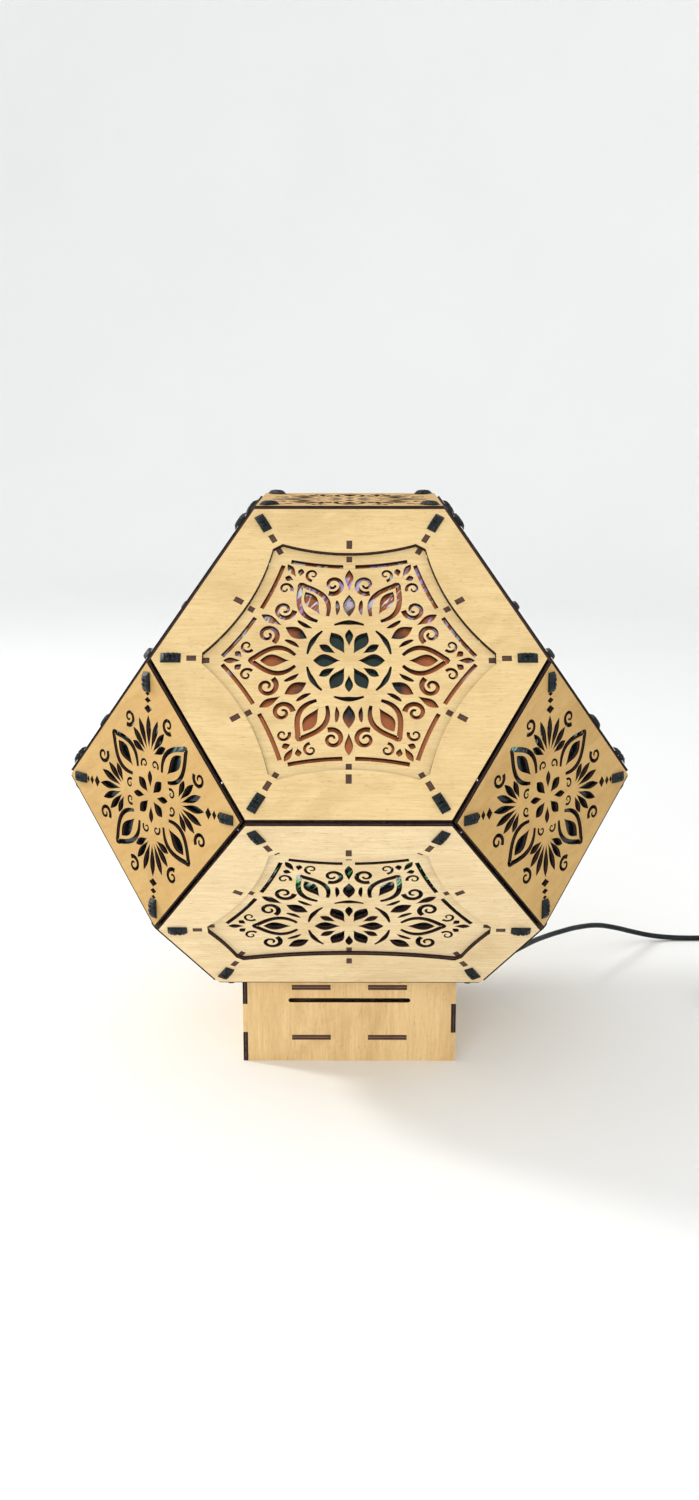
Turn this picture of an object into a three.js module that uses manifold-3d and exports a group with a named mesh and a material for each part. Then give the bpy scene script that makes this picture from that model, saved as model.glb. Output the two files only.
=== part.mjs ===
// A plywood lantern lamp: a truncated octahedron of hexagonal and square fretwork panels, pinned together
// by snap-fit corner connectors, standing on a finger-jointed plywood box, with its mains cord.
// Millimetres, +Z up. The front faces -Y. The origin is the middle of the box's footprint.

import * as THREE from 'three';
import { mergeVertices } from 'three/addons/utils/BufferGeometryUtils.js';
import Module from 'manifold-3d';

const wasm = await Module();
wasm.setup();

// Driving dimensions
const PLY = 3; // thickness of every plywood piece
const GAP = 0.3; // clearance between pieces that touch or pass through each other
const EDGE = 120; // edge of the truncated octahedron
const PLINTH_SIDE = 140;
const PLINTH_HEIGHT = 60;
const CORD_DIAMETER = 4;

// The truncated octahedron, about its own centre
const UNIT = EDGE / Math.SQRT2; // its corners are the permutations of (0, 1, 2) times this
const HEXAGON_REACH = Math.sqrt(3) * UNIT; // centre to a hexagon's outer face
const SQUARE_REACH = 2 * UNIT; // centre to a square's outer face
const HEXAGON_APOTHEM = (Math.sqrt(3) / 2) * EDGE;
const HEXAGON_TILT = Math.asin(1 / Math.sqrt(3)); // a hexagon's outward direction above the horizon
const BASE_REACH = 133.3; // centre to the plane that cuts the lantern's foot off
const CENTRE_Z = PLINTH_HEIGHT + GAP + BASE_REACH;
const UP_THE_SLOPE = Math.cos(HEXAGON_TILT);
const BASE_APOTHEM = (BASE_REACH - HEXAGON_REACH * Math.sin(HEXAGON_TILT)) / UP_THE_SLOPE;
const BASE_HALF = (HEXAGON_REACH - BASE_REACH * Math.sin(HEXAGON_TILT)) / UP_THE_SLOPE;

// How far square-cut panel edges stay back from the edges of the solid
const BACK_AT_HEXAGON = 2.27;
const BACK_AT_SQUARE = 2.18;
const SQUARE_BACK = 1.94;
const BACK_AT_BASE = 1.96;

// The concave opening of a hexagonal panel
const OPENING_FLAT_AT = 87.2; // centre to the short flats that face the corners
const OPENING_FLAT_HALF = 3.5;
const OPENING_BULGE = 6.27; // how far the sides bow towards the centre
const BASE_FLAT = { x: 68.95, y: -31.5, angle: THREE.MathUtils.degToRad(-56.3) };
const BASE_FLAT_HALF = 2.7;
const SHORT_SIDE_BULGE = 0.9;
const BASE_BULGE = 6;
const FRETWORK_MARGIN = 1; // the fretwork panel is this much smaller all round

// Spacer brackets
const TAB_LENGTH = 5.3;
const TAB_AT_CORNER = 93.5;
const TAB_AT_SIDE = 76.7;
const TAB_AT_BASE = 33.5;
const TAB_PAST_FLAT = 6.3;
const BRACKET_INWARD = 13.5; // a tab's middle to the bracket's inner end
const BRACKET_DEPTH = 11;

// Corner connectors
const HEAD_INSET = 14.2; // a corner of the solid to the middle of the head
const HEAD_LENGTH = 12;
const HEAD_CREST = 8.8;
const HEAD_WIDTH = 6;
const HEAD_HEIGHT = 2.5;
const LEG_LENGTH = 7.2;
const LEG_WIDTH = 2.8;
const HUB_BACK = 20;
const HUB_RADIUS = 9;

// Plinth
const FINGER = PLINTH_HEIGHT / 3;
const JOINT_GAP = 0.15;
const DECK_MIDDLES = [16.5, 51.5];
const DECK_TAB_LENGTH = 25;
const DECK_TAB_AT = 25;
const VENT_LENGTH = 80;
const VENT_Z = 42.5;
const LEAD_HOLE = 10;

// Lamp holder and bulb
const HOLDER_RADIUS = 20;
const HOLDER_HEIGHT = 46;
const FLANGE_RADIUS = 27;
const FLANGE_HEIGHT = 3;
const HOLDER_BORE = 13.9;
const HOLDER_FLOOR = 20;
const LEAD_DIAMETER = 6;
const BULB_RADIUS = 30;
const BULB_CAP_RADIUS = 13.2;
const BULB_CAP_HEIGHT = 27;
const BULB_CAP_TAPER = 4; // the cap narrows by this much over the same height
const BULB_CENTRE = 78; // the cap's foot to the middle of the globe

// Cord, gland, switch and plug
const GLAND_AT = new THREE.Vector3(PLINTH_SIDE / 2, 40, 30);
const GLAND_LENGTH = 24;
const GLAND_HOLE = 3.8; // radius of its hole in the wall
const GLAND_SHANK = { radius: 3.4, depth: 8 }; // the part inside the plinth
const GLAND_FLANGE = { radius: 6.2, height: 2.6 };
const GLAND_SLEEVE = { thick: 4, thin: 3.1 }; // radii of the bending sleeve at its two ends
const CORD_Z = 2.1; // a cord lying on the table
const COIL_AT = new THREE.Vector2(294, 38);
const COIL_RADIUS = 24; // at the middle of the turns
const COIL_TURNS_ACROSS = 3;
const SWITCH_AT = new THREE.Vector3(322, 97, 0);
const SWITCH_SIZE = { width: 26, length: 58, height: 18 };
const SWITCH_NOSE = { inset: 6, length: 12 }; // the ends narrow by the inset on each side
const SWITCH_CORD_Z = 7.5;
const CORD_BORE = 2.8; // radius of the switch's cord passage
const POCKET_DEPTH = 5.6;
const ROCKER = { width: 10.4, length: 20, keel: 2.8, edge: 0.9, crown: 1, pivotZ: 17 };
const ROCKER_TILT = THREE.MathUtils.degToRad(8);
const PLUG = { width: 35, length: 32, height: 14 };
const PLUG_NOSE = { half: 6, shoulder: 11, inset: 3 };
const PLUG_NECK = { length: 22, thick: 4, thin: 2.9 };
const PLUG_PIN = { diameter: 4, length: 19, at: 9.3 };
const CASE_BEVEL = 1.5; // along the edges of the switch and the plug

const PLYWOOD = new THREE.Color('#e3c391');
const HEXAGON_PLY = { color: PLYWOOD, roughness: 0.6, metalness: 0 };
const SQUARE_PLY = { color: new THREE.Color('#dcb87c'), roughness: 0.6, metalness: 0 };
const PLINTH_PLY = { color: new THREE.Color('#dcbd86'), roughness: 0.62, metalness: 0 };
const BLACK_NYLON = { color: new THREE.Color('#15191c'), roughness: 0.42, metalness: 0 };
const BLACK_PVC = { color: new THREE.Color('#101518'), roughness: 0.5, metalness: 0 };
const WHITE_PLASTIC = { color: new THREE.Color('#ecebe6'), roughness: 0.35, metalness: 0 };
const FROSTED_GLASS = { color: new THREE.Color('#f4f2ec'), roughness: 0.3, metalness: 0 };

const lamp = new THREE.Group();

// ---- Helpers ----

function addMesh(parent, name, geometry, finish) {
  const mesh = new THREE.Mesh(geometry, new THREE.MeshStandardMaterial(finish));
  mesh.name = name;
  parent.add(mesh);
  return mesh;
}

function solidOf(geometry) {
  const bare = geometry.clone();
  bare.deleteAttribute('normal');
  bare.deleteAttribute('uv');
  const merged = mergeVertices(bare);
  return new wasm.Manifold(new wasm.Mesh({
    numProp: 3,
    vertProperties: new Float32Array(merged.attributes.position.array),
    triVerts: new Uint32Array(merged.index.array),
  }));
}

function geometryOf(solid) {
  const mesh = solid.getMesh();
  const geometry = new THREE.BufferGeometry();
  geometry.setAttribute('position', new THREE.BufferAttribute(new Float32Array(mesh.vertProperties), 3));
  geometry.setIndex(new THREE.BufferAttribute(new Uint32Array(mesh.triVerts), 1));
  geometry.computeVertexNormals();
  return geometry;
}

function join(geometries) {
  const solids = geometries.map(solidOf);
  return geometryOf(solids.reduce((whole, solid) => whole.add(solid)));
}

function cut(geometry, tools) {
  return geometryOf(tools.map(solidOf).reduce((left, tool) => left.subtract(tool), solidOf(geometry)));
}

// Where two straight edges cross; an edge is its outward angle and its distance from the centre.
function crossing(a, b) {
  const turn = Math.sin(b.angle - a.angle);
  return new THREE.Vector2(
    (a.reach * Math.sin(b.angle) - b.reach * Math.sin(a.angle)) / turn,
    (b.reach * Math.cos(a.angle) - a.reach * Math.cos(b.angle)) / turn,
  );
}

function cornersOf(edges) {
  return edges.map((edge, i) => crossing(edge, edges[(i + 1) % edges.length]));
}

function rectangle({ x, y, angle }, length, width) {
  const along = new THREE.Vector2(Math.cos(angle), Math.sin(angle)).multiplyScalar(length / 2);
  const across = new THREE.Vector2(-Math.sin(angle), Math.cos(angle)).multiplyScalar(width / 2);
  const middle = new THREE.Vector2(x, y);
  return new THREE.Shape([[-1, -1], [1, -1], [1, 1], [-1, 1]].map(([i, j]) =>
    middle.clone().addScaledVector(along, i).addScaledVector(across, j)));
}

function box(x, y, z, lengthX, lengthY, lengthZ) {
  return new THREE.BoxGeometry(lengthX, lengthY, lengthZ).translate(x, y, z);
}

function circle(radius, sides, x = 0, y = 0) {
  const step = (2 * Math.PI) / sides;
  return Array.from({ length: sides }, (_, i) => {
    const angle = (i + 0.5) * step;
    return new THREE.Vector2(x + radius * Math.cos(angle), y + radius * Math.sin(angle));
  });
}

// A flat plate whose outer face is at z = 0 and whose body reaches down by its thickness.
function plate(shape, thickness = PLY) {
  const settings = { depth: thickness, bevelEnabled: false, curveSegments: 2 };
  return new THREE.ExtrudeGeometry(shape, settings).translate(0, 0, -thickness);
}

// A plate with holes cut right through it, each given as a shape.
function piercedPlate(outline, holes) {
  return cut(plate(outline), holes.map((hole) => plate(hole, 3 * PLY).translate(0, 0, PLY)));
}

function lathe(profile, sides) {
  const points = profile.map(([radius, z]) => new THREE.Vector2(radius, z));
  return new THREE.LatheGeometry(points, sides).rotateX(Math.PI / 2);
}

function tube(points, diameter, steps, sides = 8) {
  const curve = new THREE.CatmullRomCurve3(points, false, 'centripetal');
  const section = new THREE.Shape(circle(diameter / 2, sides));
  return new THREE.ExtrudeGeometry(section, { steps, extrudePath: curve });
}

// A group whose +Z is a face's outward direction and whose +X runs across it.
function faceGroup(outward, across, reach) {
  const group = new THREE.Group();
  const up = new THREE.Vector3().crossVectors(outward, across);
  group.quaternion.setFromRotationMatrix(new THREE.Matrix4().makeBasis(across, up, outward));
  group.position.copy(outward).multiplyScalar(reach);
  return group;
}

// ---- Hexagonal panels and their fretwork ----

const SIXTH = Math.PI / 3;

// Edge distances anticlockwise from the top edge; every other neighbour of a hexagon is a square.
function hexagonEdges(isLower, backs) {
  const meetsSquareOnTop = !isLower;
  return Array.from({ length: 6 }, (_, k) => {
    const angle = Math.PI / 2 + k * SIXTH;
    if (isLower && k === 3) return { angle, reach: BASE_APOTHEM - backs.base };
    const meetsSquare = (k % 2 === 0) === meetsSquareOnTop;
    return { angle, reach: HEXAGON_APOTHEM - (meetsSquare ? backs.square : backs.hexagon) };
  });
}

const PANEL_BACKS = { hexagon: BACK_AT_HEXAGON, square: BACK_AT_SQUARE, base: BACK_AT_BASE };
const NO_BACKS = { hexagon: 0, square: 0, base: 0 };

function openingFlats(isLower) {
  const flats = [];
  for (let k = 0; k < 6; k += 1) {
    const angle = k * SIXTH;
    if (!isLower || k < 4) {
      flats.push({
        x: OPENING_FLAT_AT * Math.cos(angle),
        y: OPENING_FLAT_AT * Math.sin(angle),
        angle,
        half: OPENING_FLAT_HALF,
        bulge: isLower && k === 3 ? SHORT_SIDE_BULGE : OPENING_BULGE,
      });
    }
  }
  if (isLower) {
    const { x, y, angle } = BASE_FLAT;
    flats.push({ x: -x, y, angle: Math.PI - angle, half: BASE_FLAT_HALF, bulge: BASE_BULGE });
    flats.push({ x, y, angle, half: BASE_FLAT_HALF, bulge: SHORT_SIDE_BULGE });
  }
  return flats;
}

// The opening's outline, smaller all round by a margin: short flats joined by arcs that bow inwards.
function openingShape(isLower, margin) {
  const path = new THREE.Shape();
  const flats = openingFlats(isLower).map((flat) => {
    const out = new THREE.Vector2(Math.cos(flat.angle), Math.sin(flat.angle));
    const side = new THREE.Vector2(-out.y, out.x).multiplyScalar(flat.half - margin / 2);
    const middle = new THREE.Vector2(flat.x, flat.y).addScaledVector(out, -margin);
    return { start: middle.clone().sub(side), end: middle.clone().add(side), bulge: flat.bulge };
  });
  path.moveTo(flats[0].start.x, flats[0].start.y);
  flats.forEach((flat, i) => {
    const next = flats[(i + 1) % flats.length];
    const chord = new THREE.Vector2().subVectors(next.start, flat.end);
    const half = chord.length() / 2;
    const radius = (half * half + flat.bulge * flat.bulge) / (2 * flat.bulge);
    const out = new THREE.Vector2(chord.y, -chord.x).normalize();
    const centre = new THREE.Vector2().addVectors(flat.end, next.start).multiplyScalar(0.5);
    centre.addScaledVector(out, radius - flat.bulge);
    const from = Math.atan2(flat.end.y - centre.y, flat.end.x - centre.x);
    const to = Math.atan2(next.start.y - centre.y, next.start.x - centre.x);
    path.lineTo(flat.end.x, flat.end.y);
    path.absarc(centre.x, centre.y, radius, from, to, true);
  });
  return path;
}

function onRay(reach, angle) {
  return { x: reach * Math.cos(angle), y: reach * Math.sin(angle), angle };
}

// The middle of each spacer bracket's tab and the direction that it points in.
function bracketPlaces(isLower) {
  const places = [];
  for (let k = 0; k < 6; k += 1) {
    const corner = k * SIXTH;
    const side = (k + 0.5) * SIXTH;
    if (!isLower || k < 4) places.push(onRay(TAB_AT_CORNER, corner));
    if (!isLower || k < 3) places.push(onRay(TAB_AT_SIDE, side));
  }
  if (isLower) {
    const { x, y, angle } = BASE_FLAT;
    const tabX = x + TAB_PAST_FLAT * Math.cos(angle);
    const tabY = y + TAB_PAST_FLAT * Math.sin(angle);
    places.push({ x: tabX, y: tabY, angle });
    places.push({ x: -tabX, y: tabY, angle: Math.PI - angle });
    places.push({ x: 0, y: -TAB_AT_BASE, angle: -Math.PI / 2 });
  }
  return places;
}

function headPlaces(edges) {
  return cornersOf(edges).map((corner, i) => {
    const turn = edges[(i + 1) % edges.length].angle - edges[i].angle;
    const angle = edges[i].angle + THREE.MathUtils.euclideanModulo(turn, 2 * Math.PI) / 2;
    const inset = onRay(HEAD_INSET, angle);
    return { x: corner.x - inset.x, y: corner.y - inset.y, angle };
  });
}

function legSlots(edges) {
  return headPlaces(edges).map((place) => rectangle(place, LEG_LENGTH + 2 * GAP, LEG_WIDTH + 2 * GAP));
}

function hexagonPanel(isLower) {
  const outline = new THREE.Shape(cornersOf(hexagonEdges(isLower, PANEL_BACKS)));
  const tabSlot = (place) => rectangle(place, TAB_LENGTH + 2 * GAP, PLY + 2 * GAP);
  return piercedPlate(outline, [
    openingShape(isLower, 0),
    ...legSlots(hexagonEdges(isLower, NO_BACKS)),
    ...bracketPlaces(isLower).map(tabSlot),
  ]);
}

function bracket(place) {
  const low = -BRACKET_DEPTH;
  const shoulder = -PLY - GAP;
  const tab = TAB_LENGTH / 2;
  const profile = new THREE.Shape([
    new THREE.Vector2(-BRACKET_INWARD, low),
    new THREE.Vector2(tab, low),
    new THREE.Vector2(tab, 0),
    new THREE.Vector2(-tab, 0),
    new THREE.Vector2(-tab, shoulder),
    new THREE.Vector2(-BRACKET_INWARD, shoulder),
  ]);
  const solid = new THREE.ExtrudeGeometry(profile, { depth: PLY, bevelEnabled: false });
  solid.translate(0, 0, -PLY / 2).rotateX(Math.PI / 2);
  return solid.rotateZ(place.angle).translate(place.x, place.y, 0);
}

// A hexagon's fretwork has slender cuts towards its corners and sides.
// The lower ones have no cuts below their bottom arc.
const FRET_CUTS = [
  { turn: 0, from: 33, to: 77, width: 3.6 },
  { turn: 0.5, from: 13, to: 58, width: 3.6 },
];
const LOWEST_CUT = -22;

// Radial cuts, the set repeated round the centre the given number of times.
function radialCuts(cuts, repeats, isKept = () => true) {
  const shapes = [];
  for (let k = 0; k < repeats; k += 1) {
    for (const { turn, from, to, width } of cuts) {
      const angle = ((k + turn) * 2 * Math.PI) / repeats;
      const place = onRay((from + to) / 2, angle);
      if (isKept(to * Math.sin(angle))) shapes.push(rectangle(place, to - from, width));
    }
  }
  return shapes;
}

function fretworkPanel(isLower) {
  const cuts = radialCuts(FRET_CUTS, 6, (endY) => !isLower || endY > LOWEST_CUT);
  const panel = piercedPlate(openingShape(isLower, FRETWORK_MARGIN), cuts).translate(0, 0, -PLY);
  return join([panel, ...bracketPlaces(isLower).map(bracket)]);
}

// ---- Square panels ----

function squareEdges(half) {
  return Array.from({ length: 4 }, (_, k) => ({ angle: Math.PI / 4 + (k * Math.PI) / 2, reach: half }));
}

const SQUARE_CUTS = [
  { turn: 0, from: 12, to: 58, width: 3.6 },
  { turn: 0.5, from: 12, to: 48, width: 3.6 },
];

// A square with its corners on the local axes.
function squarePanel() {
  const outline = new THREE.Shape(cornersOf(squareEdges(EDGE / 2 - SQUARE_BACK)));
  return piercedPlate(outline, [...legSlots(squareEdges(EDGE / 2)), ...radialCuts(SQUARE_CUTS, 4)]);
}

function bottomPlate() {
  const outline = new THREE.Shape(cornersOf(squareEdges(BASE_HALF - SQUARE_BACK)));
  const leadHole = new THREE.Shape(circle(LEAD_HOLE / 2, 12));
  return piercedPlate(outline, [...legSlots(squareEdges(BASE_HALF)), leadHole]);
}

// ---- Corner connectors ----

// In a corner's own frame: the square's outward direction is +Z and the square's middle lies along +X.
const LEAN = 1 / Math.sqrt(3);
const CORNER_FACES = [
  { outward: [0, 0, 1], inward: [1, 0, 0], legReach: 18 },
  { outward: [-LEAN, LEAN, LEAN], inward: [0, Math.SQRT1_2, -Math.SQRT1_2], legReach: 13 },
  { outward: [-LEAN, -LEAN, LEAN], inward: [0, -Math.SQRT1_2, -Math.SQRT1_2], legReach: 13 },
];

// A head that spreads over the panel and a leg through its slot, with the outer face at z = 0.
function headAndLeg(legReach) {
  const profile = new THREE.Shape([
    new THREE.Vector2(-HEAD_LENGTH / 2, GAP),
    new THREE.Vector2(HEAD_LENGTH / 2, GAP),
    new THREE.Vector2(HEAD_CREST / 2, GAP + HEAD_HEIGHT),
    new THREE.Vector2(-HEAD_CREST / 2, GAP + HEAD_HEIGHT),
  ]);
  const head = new THREE.ExtrudeGeometry(profile, { depth: HEAD_WIDTH, bevelEnabled: false });
  head.translate(0, 0, -HEAD_WIDTH / 2).rotateX(Math.PI / 2);
  const top = 2 * GAP;
  const leg = box(0, 0, (top - legReach) / 2, LEG_LENGTH, LEG_WIDTH, top + legReach);
  return [head, leg];
}

function cornerConnector() {
  const outOfCorner = new THREE.Vector3(-1, 0, 2).normalize();
  const hubAt = outOfCorner.multiplyScalar(-HUB_BACK);
  const parts = [new THREE.OctahedronGeometry(HUB_RADIUS).translate(hubAt.x, hubAt.y, hubAt.z)];
  for (const face of CORNER_FACES) {
    const outward = new THREE.Vector3(...face.outward);
    const inward = new THREE.Vector3(...face.inward);
    const across = new THREE.Vector3().crossVectors(outward, inward);
    const place = new THREE.Matrix4().makeBasis(inward, across, outward);
    place.setPosition(inward.clone().multiplyScalar(HEAD_INSET));
    parts.push(...headAndLeg(face.legReach).map((solid) => solid.applyMatrix4(place)));
  }
  return join(parts);
}

// ---- The lantern ----

const lantern = new THREE.Group();
lantern.position.z = CENTRE_Z;
lamp.add(lantern);

const SIDES = ['front', 'right', 'back', 'left'];

function horizontal(degrees) {
  const angle = THREE.MathUtils.degToRad(degrees);
  return new THREE.Vector3(Math.cos(angle), Math.sin(angle), 0);
}

for (const level of ['upper', 'lower']) {
  const isLower = level === 'lower';
  const panel = hexagonPanel(isLower);
  const fretwork = fretworkPanel(isLower);
  SIDES.forEach((side, i) => {
    const outward = horizontal(-90 + 90 * i).multiplyScalar(Math.cos(HEXAGON_TILT));
    outward.z = (isLower ? -1 : 1) * Math.sin(HEXAGON_TILT);
    const group = faceGroup(outward, horizontal(90 * i), HEXAGON_REACH);
    addMesh(group, `hexagon_panel_${level}_${side}`, panel, HEXAGON_PLY);
    addMesh(group, `fretwork_${level}_${side}`, fretwork, HEXAGON_PLY);
    lantern.add(group);
  });
}

const connector = cornerConnector();

function addConnectors(group, face, corners, fromCentre) {
  corners.forEach((corner, k) => {
    const angle = (k * Math.PI) / 2;
    const mesh = addMesh(group, `connector_${face}_${corner}`, connector, BLACK_NYLON);
    mesh.position.set(fromCentre * Math.cos(angle), fromCentre * Math.sin(angle), 0);
    mesh.rotation.z = angle + Math.PI;
  });
}

const square = squarePanel();
['front_right', 'back_right', 'back_left', 'front_left'].forEach((face, i) => {
  const group = faceGroup(horizontal(-45 + 90 * i), horizontal(45 + 90 * i), SQUARE_REACH);
  addMesh(group, `square_fretwork_${face}`, square, SQUARE_PLY);
  addConnectors(group, face, ['right', 'top', 'left', 'bottom'], UNIT);
  lantern.add(group);
});

const crown = faceGroup(new THREE.Vector3(0, 0, 1), horizontal(45), SQUARE_REACH);
addMesh(crown, 'square_fretwork_top', square, SQUARE_PLY);
addConnectors(crown, 'crown', ['back_right', 'back_left', 'front_left', 'front_right'], UNIT);
lantern.add(crown);

const foot = faceGroup(new THREE.Vector3(0, 0, -1), horizontal(45), BASE_REACH);
addMesh(foot, 'bottom_plate', bottomPlate(), HEXAGON_PLY);
const FOOT_CORNERS = ['back_right', 'front_right', 'front_left', 'back_left'];
addConnectors(foot, 'foot', FOOT_CORNERS, BASE_HALF * Math.SQRT2);
lantern.add(foot);

// ---- Plinth: four equal walls that turn round the box, and two decks tabbed through them ----

const PLINTH_HALF = PLINTH_SIDE / 2;

// A wall as seen from outside, z up the page: its left edge has one finger and its right edge two.
function wallShape() {
  const inner = PLINTH_HALF - PLY - JOINT_GAP;
  const low = FINGER;
  const high = 2 * FINGER;
  const outline = new THREE.Shape([
    new THREE.Vector2(-inner, 0),
    new THREE.Vector2(PLINTH_HALF, 0),
    new THREE.Vector2(PLINTH_HALF, low - JOINT_GAP),
    new THREE.Vector2(inner, low - JOINT_GAP),
    new THREE.Vector2(inner, high + JOINT_GAP),
    new THREE.Vector2(PLINTH_HALF, high + JOINT_GAP),
    new THREE.Vector2(PLINTH_HALF, PLINTH_HEIGHT),
    new THREE.Vector2(-inner, PLINTH_HEIGHT),
    new THREE.Vector2(-inner, high - JOINT_GAP),
    new THREE.Vector2(-PLINTH_HALF, high - JOINT_GAP),
    new THREE.Vector2(-PLINTH_HALF, low + JOINT_GAP),
    new THREE.Vector2(-inner, low + JOINT_GAP),
  ]);
  return outline;
}

// The slots for the decks' tabs, and the vent.
function wallHoles() {
  const holes = [];
  for (const y of DECK_MIDDLES) {
    for (const x of [-DECK_TAB_AT, DECK_TAB_AT]) {
      holes.push(rectangle({ x, y, angle: 0 }, DECK_TAB_LENGTH + 2 * JOINT_GAP, PLY + 2 * JOINT_GAP));
    }
  }
  const vent = new THREE.Shape();
  const bend = (VENT_LENGTH - PLY) / 2;
  vent.absarc(bend, VENT_Z, PLY / 2, -Math.PI / 2, Math.PI / 2, false);
  vent.absarc(-bend, VENT_Z, PLY / 2, Math.PI / 2, 1.5 * Math.PI, false);
  holes.push(vent);
  return holes;
}

function deckShape() {
  const inner = PLINTH_HALF - PLY - JOINT_GAP;
  const reach = PLINTH_HALF;
  const half = DECK_TAB_LENGTH / 2;
  const side = [
    [inner, -DECK_TAB_AT - half], [reach, -DECK_TAB_AT - half],
    [reach, -DECK_TAB_AT + half], [inner, -DECK_TAB_AT + half],
    [inner, DECK_TAB_AT - half], [reach, DECK_TAB_AT - half],
    [reach, DECK_TAB_AT + half], [inner, DECK_TAB_AT + half],
    [inner, inner],
  ];
  const points = [];
  for (let k = 0; k < 4; k += 1) {
    for (const [x, y] of side) {
      points.push(new THREE.Vector2(x, y).rotateAround(new THREE.Vector2(), (k * Math.PI) / 2));
    }
  }
  return new THREE.Shape(points);
}

SIDES.forEach((side, i) => {
  const holes = wallHoles();
  if (side === 'right') holes.push(new THREE.Shape(circle(GLAND_HOLE, 12, GLAND_AT.y, GLAND_AT.z)));
  const group = faceGroup(horizontal(-90 + 90 * i), horizontal(90 * i), PLINTH_HALF);
  addMesh(group, `plinth_${side}`, piercedPlate(wallShape(), holes), PLINTH_PLY);
  lamp.add(group);
});
const leadHole = new THREE.Shape(circle(LEAD_HOLE / 2, 12));
['plinth_lower_deck', 'plinth_upper_deck'].forEach((name, i) => {
  const deck = addMesh(lamp, name, piercedPlate(deckShape(), [leadHole]), PLINTH_PLY);
  deck.position.z = DECK_MIDDLES[i] + PLY / 2;
});

// ---- Lamp holder with its lead, and bulb ----

const PLATE_TOP = PLINTH_HEIGHT + GAP + PLY;

const holder = lathe([
  [0, 0],
  [FLANGE_RADIUS, 0],
  [FLANGE_RADIUS, FLANGE_HEIGHT],
  [HOLDER_RADIUS, FLANGE_HEIGHT + 2],
  [HOLDER_RADIUS, HOLDER_HEIGHT],
  [HOLDER_BORE, HOLDER_HEIGHT],
  [HOLDER_BORE, HOLDER_FLOOR],
  [0, HOLDER_FLOOR],
], 18).translate(0, 0, PLATE_TOP + GAP);
const leadInside = tube([
  new THREE.Vector3(0, 0, PLATE_TOP + 6),
  new THREE.Vector3(0, 0, 50),
  new THREE.Vector3(4, 2, 40),
  new THREE.Vector3(18, 16, 32),
  new THREE.Vector3(38, 36, GLAND_AT.z),
  new THREE.Vector3(56, GLAND_AT.y, GLAND_AT.z),
], LEAD_DIAMETER, 14);
addMesh(lamp, 'lamp_holder', join([holder, leadInside]), WHITE_PLASTIC);

const BULB_FOOT = PLATE_TOP + GAP + HOLDER_FLOOR + GAP;
const GLOBE_STEPS = 6;
const bulbProfile = [
  [0, 0],
  [BULB_CAP_RADIUS - BULB_CAP_TAPER, 0],
  [BULB_CAP_RADIUS, BULB_CAP_TAPER],
  [BULB_CAP_RADIUS, BULB_CAP_HEIGHT],
];
for (let i = 0; i < GLOBE_STEPS; i += 1) {
  const angle = THREE.MathUtils.degToRad(-50 + (140 * i) / GLOBE_STEPS);
  bulbProfile.push([BULB_RADIUS * Math.cos(angle), BULB_CENTRE + BULB_RADIUS * Math.sin(angle)]);
}
bulbProfile.push([0, BULB_CENTRE + BULB_RADIUS]);
addMesh(lamp, 'bulb', lathe(bulbProfile, 16), FROSTED_GLASS).position.z = BULB_FOOT;

// ---- Cord ----

const gland = lathe([
  [0, -GLAND_SHANK.depth],
  [GLAND_SHANK.radius, -GLAND_SHANK.depth],
  [GLAND_SHANK.radius, 0],
  [GLAND_FLANGE.radius, 0],
  [GLAND_FLANGE.radius, GLAND_FLANGE.height],
  [GLAND_SLEEVE.thick, GLAND_FLANGE.height + 1.4],
  [GLAND_SLEEVE.thin, GLAND_LENGTH],
  [0, GLAND_LENGTH],
], 12).rotateY(Math.PI / 2);
addMesh(lamp, 'cord_gland', gland, BLACK_NYLON).position.copy(GLAND_AT).x += GAP;

// From the gland it hangs in a low hump to the table, then turns into the switch and runs on to the coil.
const CORD_ROUTE = [
  [GLAND_AT.x + GLAND_LENGTH + 3 * GAP, 40, 30], [102, 41.6, 30], [110, 47, 29.8], [119, 57, 29.5],
  [128, 69.5, 29], [138, 84, 28.2], [149, 98, 27], [162, 112, 25.8], [178, 127.5, 24],
  [196, 142.5, 20.2], [211, 151.5, 15], [226, 158.5, 9.2], [240, 162.3, 5], [254, 163.9, 2.8],
  [270, 164, CORD_Z], [286, 164, CORD_Z], [298, 161.8, CORD_Z], [308.5, 155.5, CORD_Z + 0.3],
  [316.5, 146.5, CORD_Z + 1.8], [321, 137.5, CORD_Z + 4], [322, 130, SWITCH_CORD_Z - 0.2],
  [322, 118, SWITCH_CORD_Z], [322, 97, SWITCH_CORD_Z], [322, 76, SWITCH_CORD_Z],
  [322, 68, SWITCH_CORD_Z - 0.1], [322, 61, 6], [322, 54.5, 3.3],
];
addMesh(
  lamp,
  'mains_cord',
  tube(CORD_ROUTE.map((point) => new THREE.Vector3(...point)), CORD_DIAMETER, 44),
  BLACK_PVC,
);

const COIL_HALF = (COIL_TURNS_ACROSS * CORD_DIAMETER) / 2;
const COIL_TOP = 2 * COIL_HALF + 0.2;
const COIL_CHAMFER = 1.5;
const coil = lathe([
  [COIL_RADIUS - COIL_HALF, COIL_CHAMFER],
  [COIL_RADIUS - COIL_HALF + COIL_CHAMFER, 0],
  [COIL_RADIUS + COIL_HALF - COIL_CHAMFER, 0],
  [COIL_RADIUS + COIL_HALF, COIL_CHAMFER],
  [COIL_RADIUS + COIL_HALF, COIL_TOP - COIL_CHAMFER],
  [COIL_RADIUS + COIL_HALF - COIL_CHAMFER, COIL_TOP],
  [COIL_RADIUS - COIL_HALF + COIL_CHAMFER, COIL_TOP],
  [COIL_RADIUS - COIL_HALF, COIL_TOP - COIL_CHAMFER],
  [COIL_RADIUS - COIL_HALF, COIL_CHAMFER],
], 24);
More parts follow.
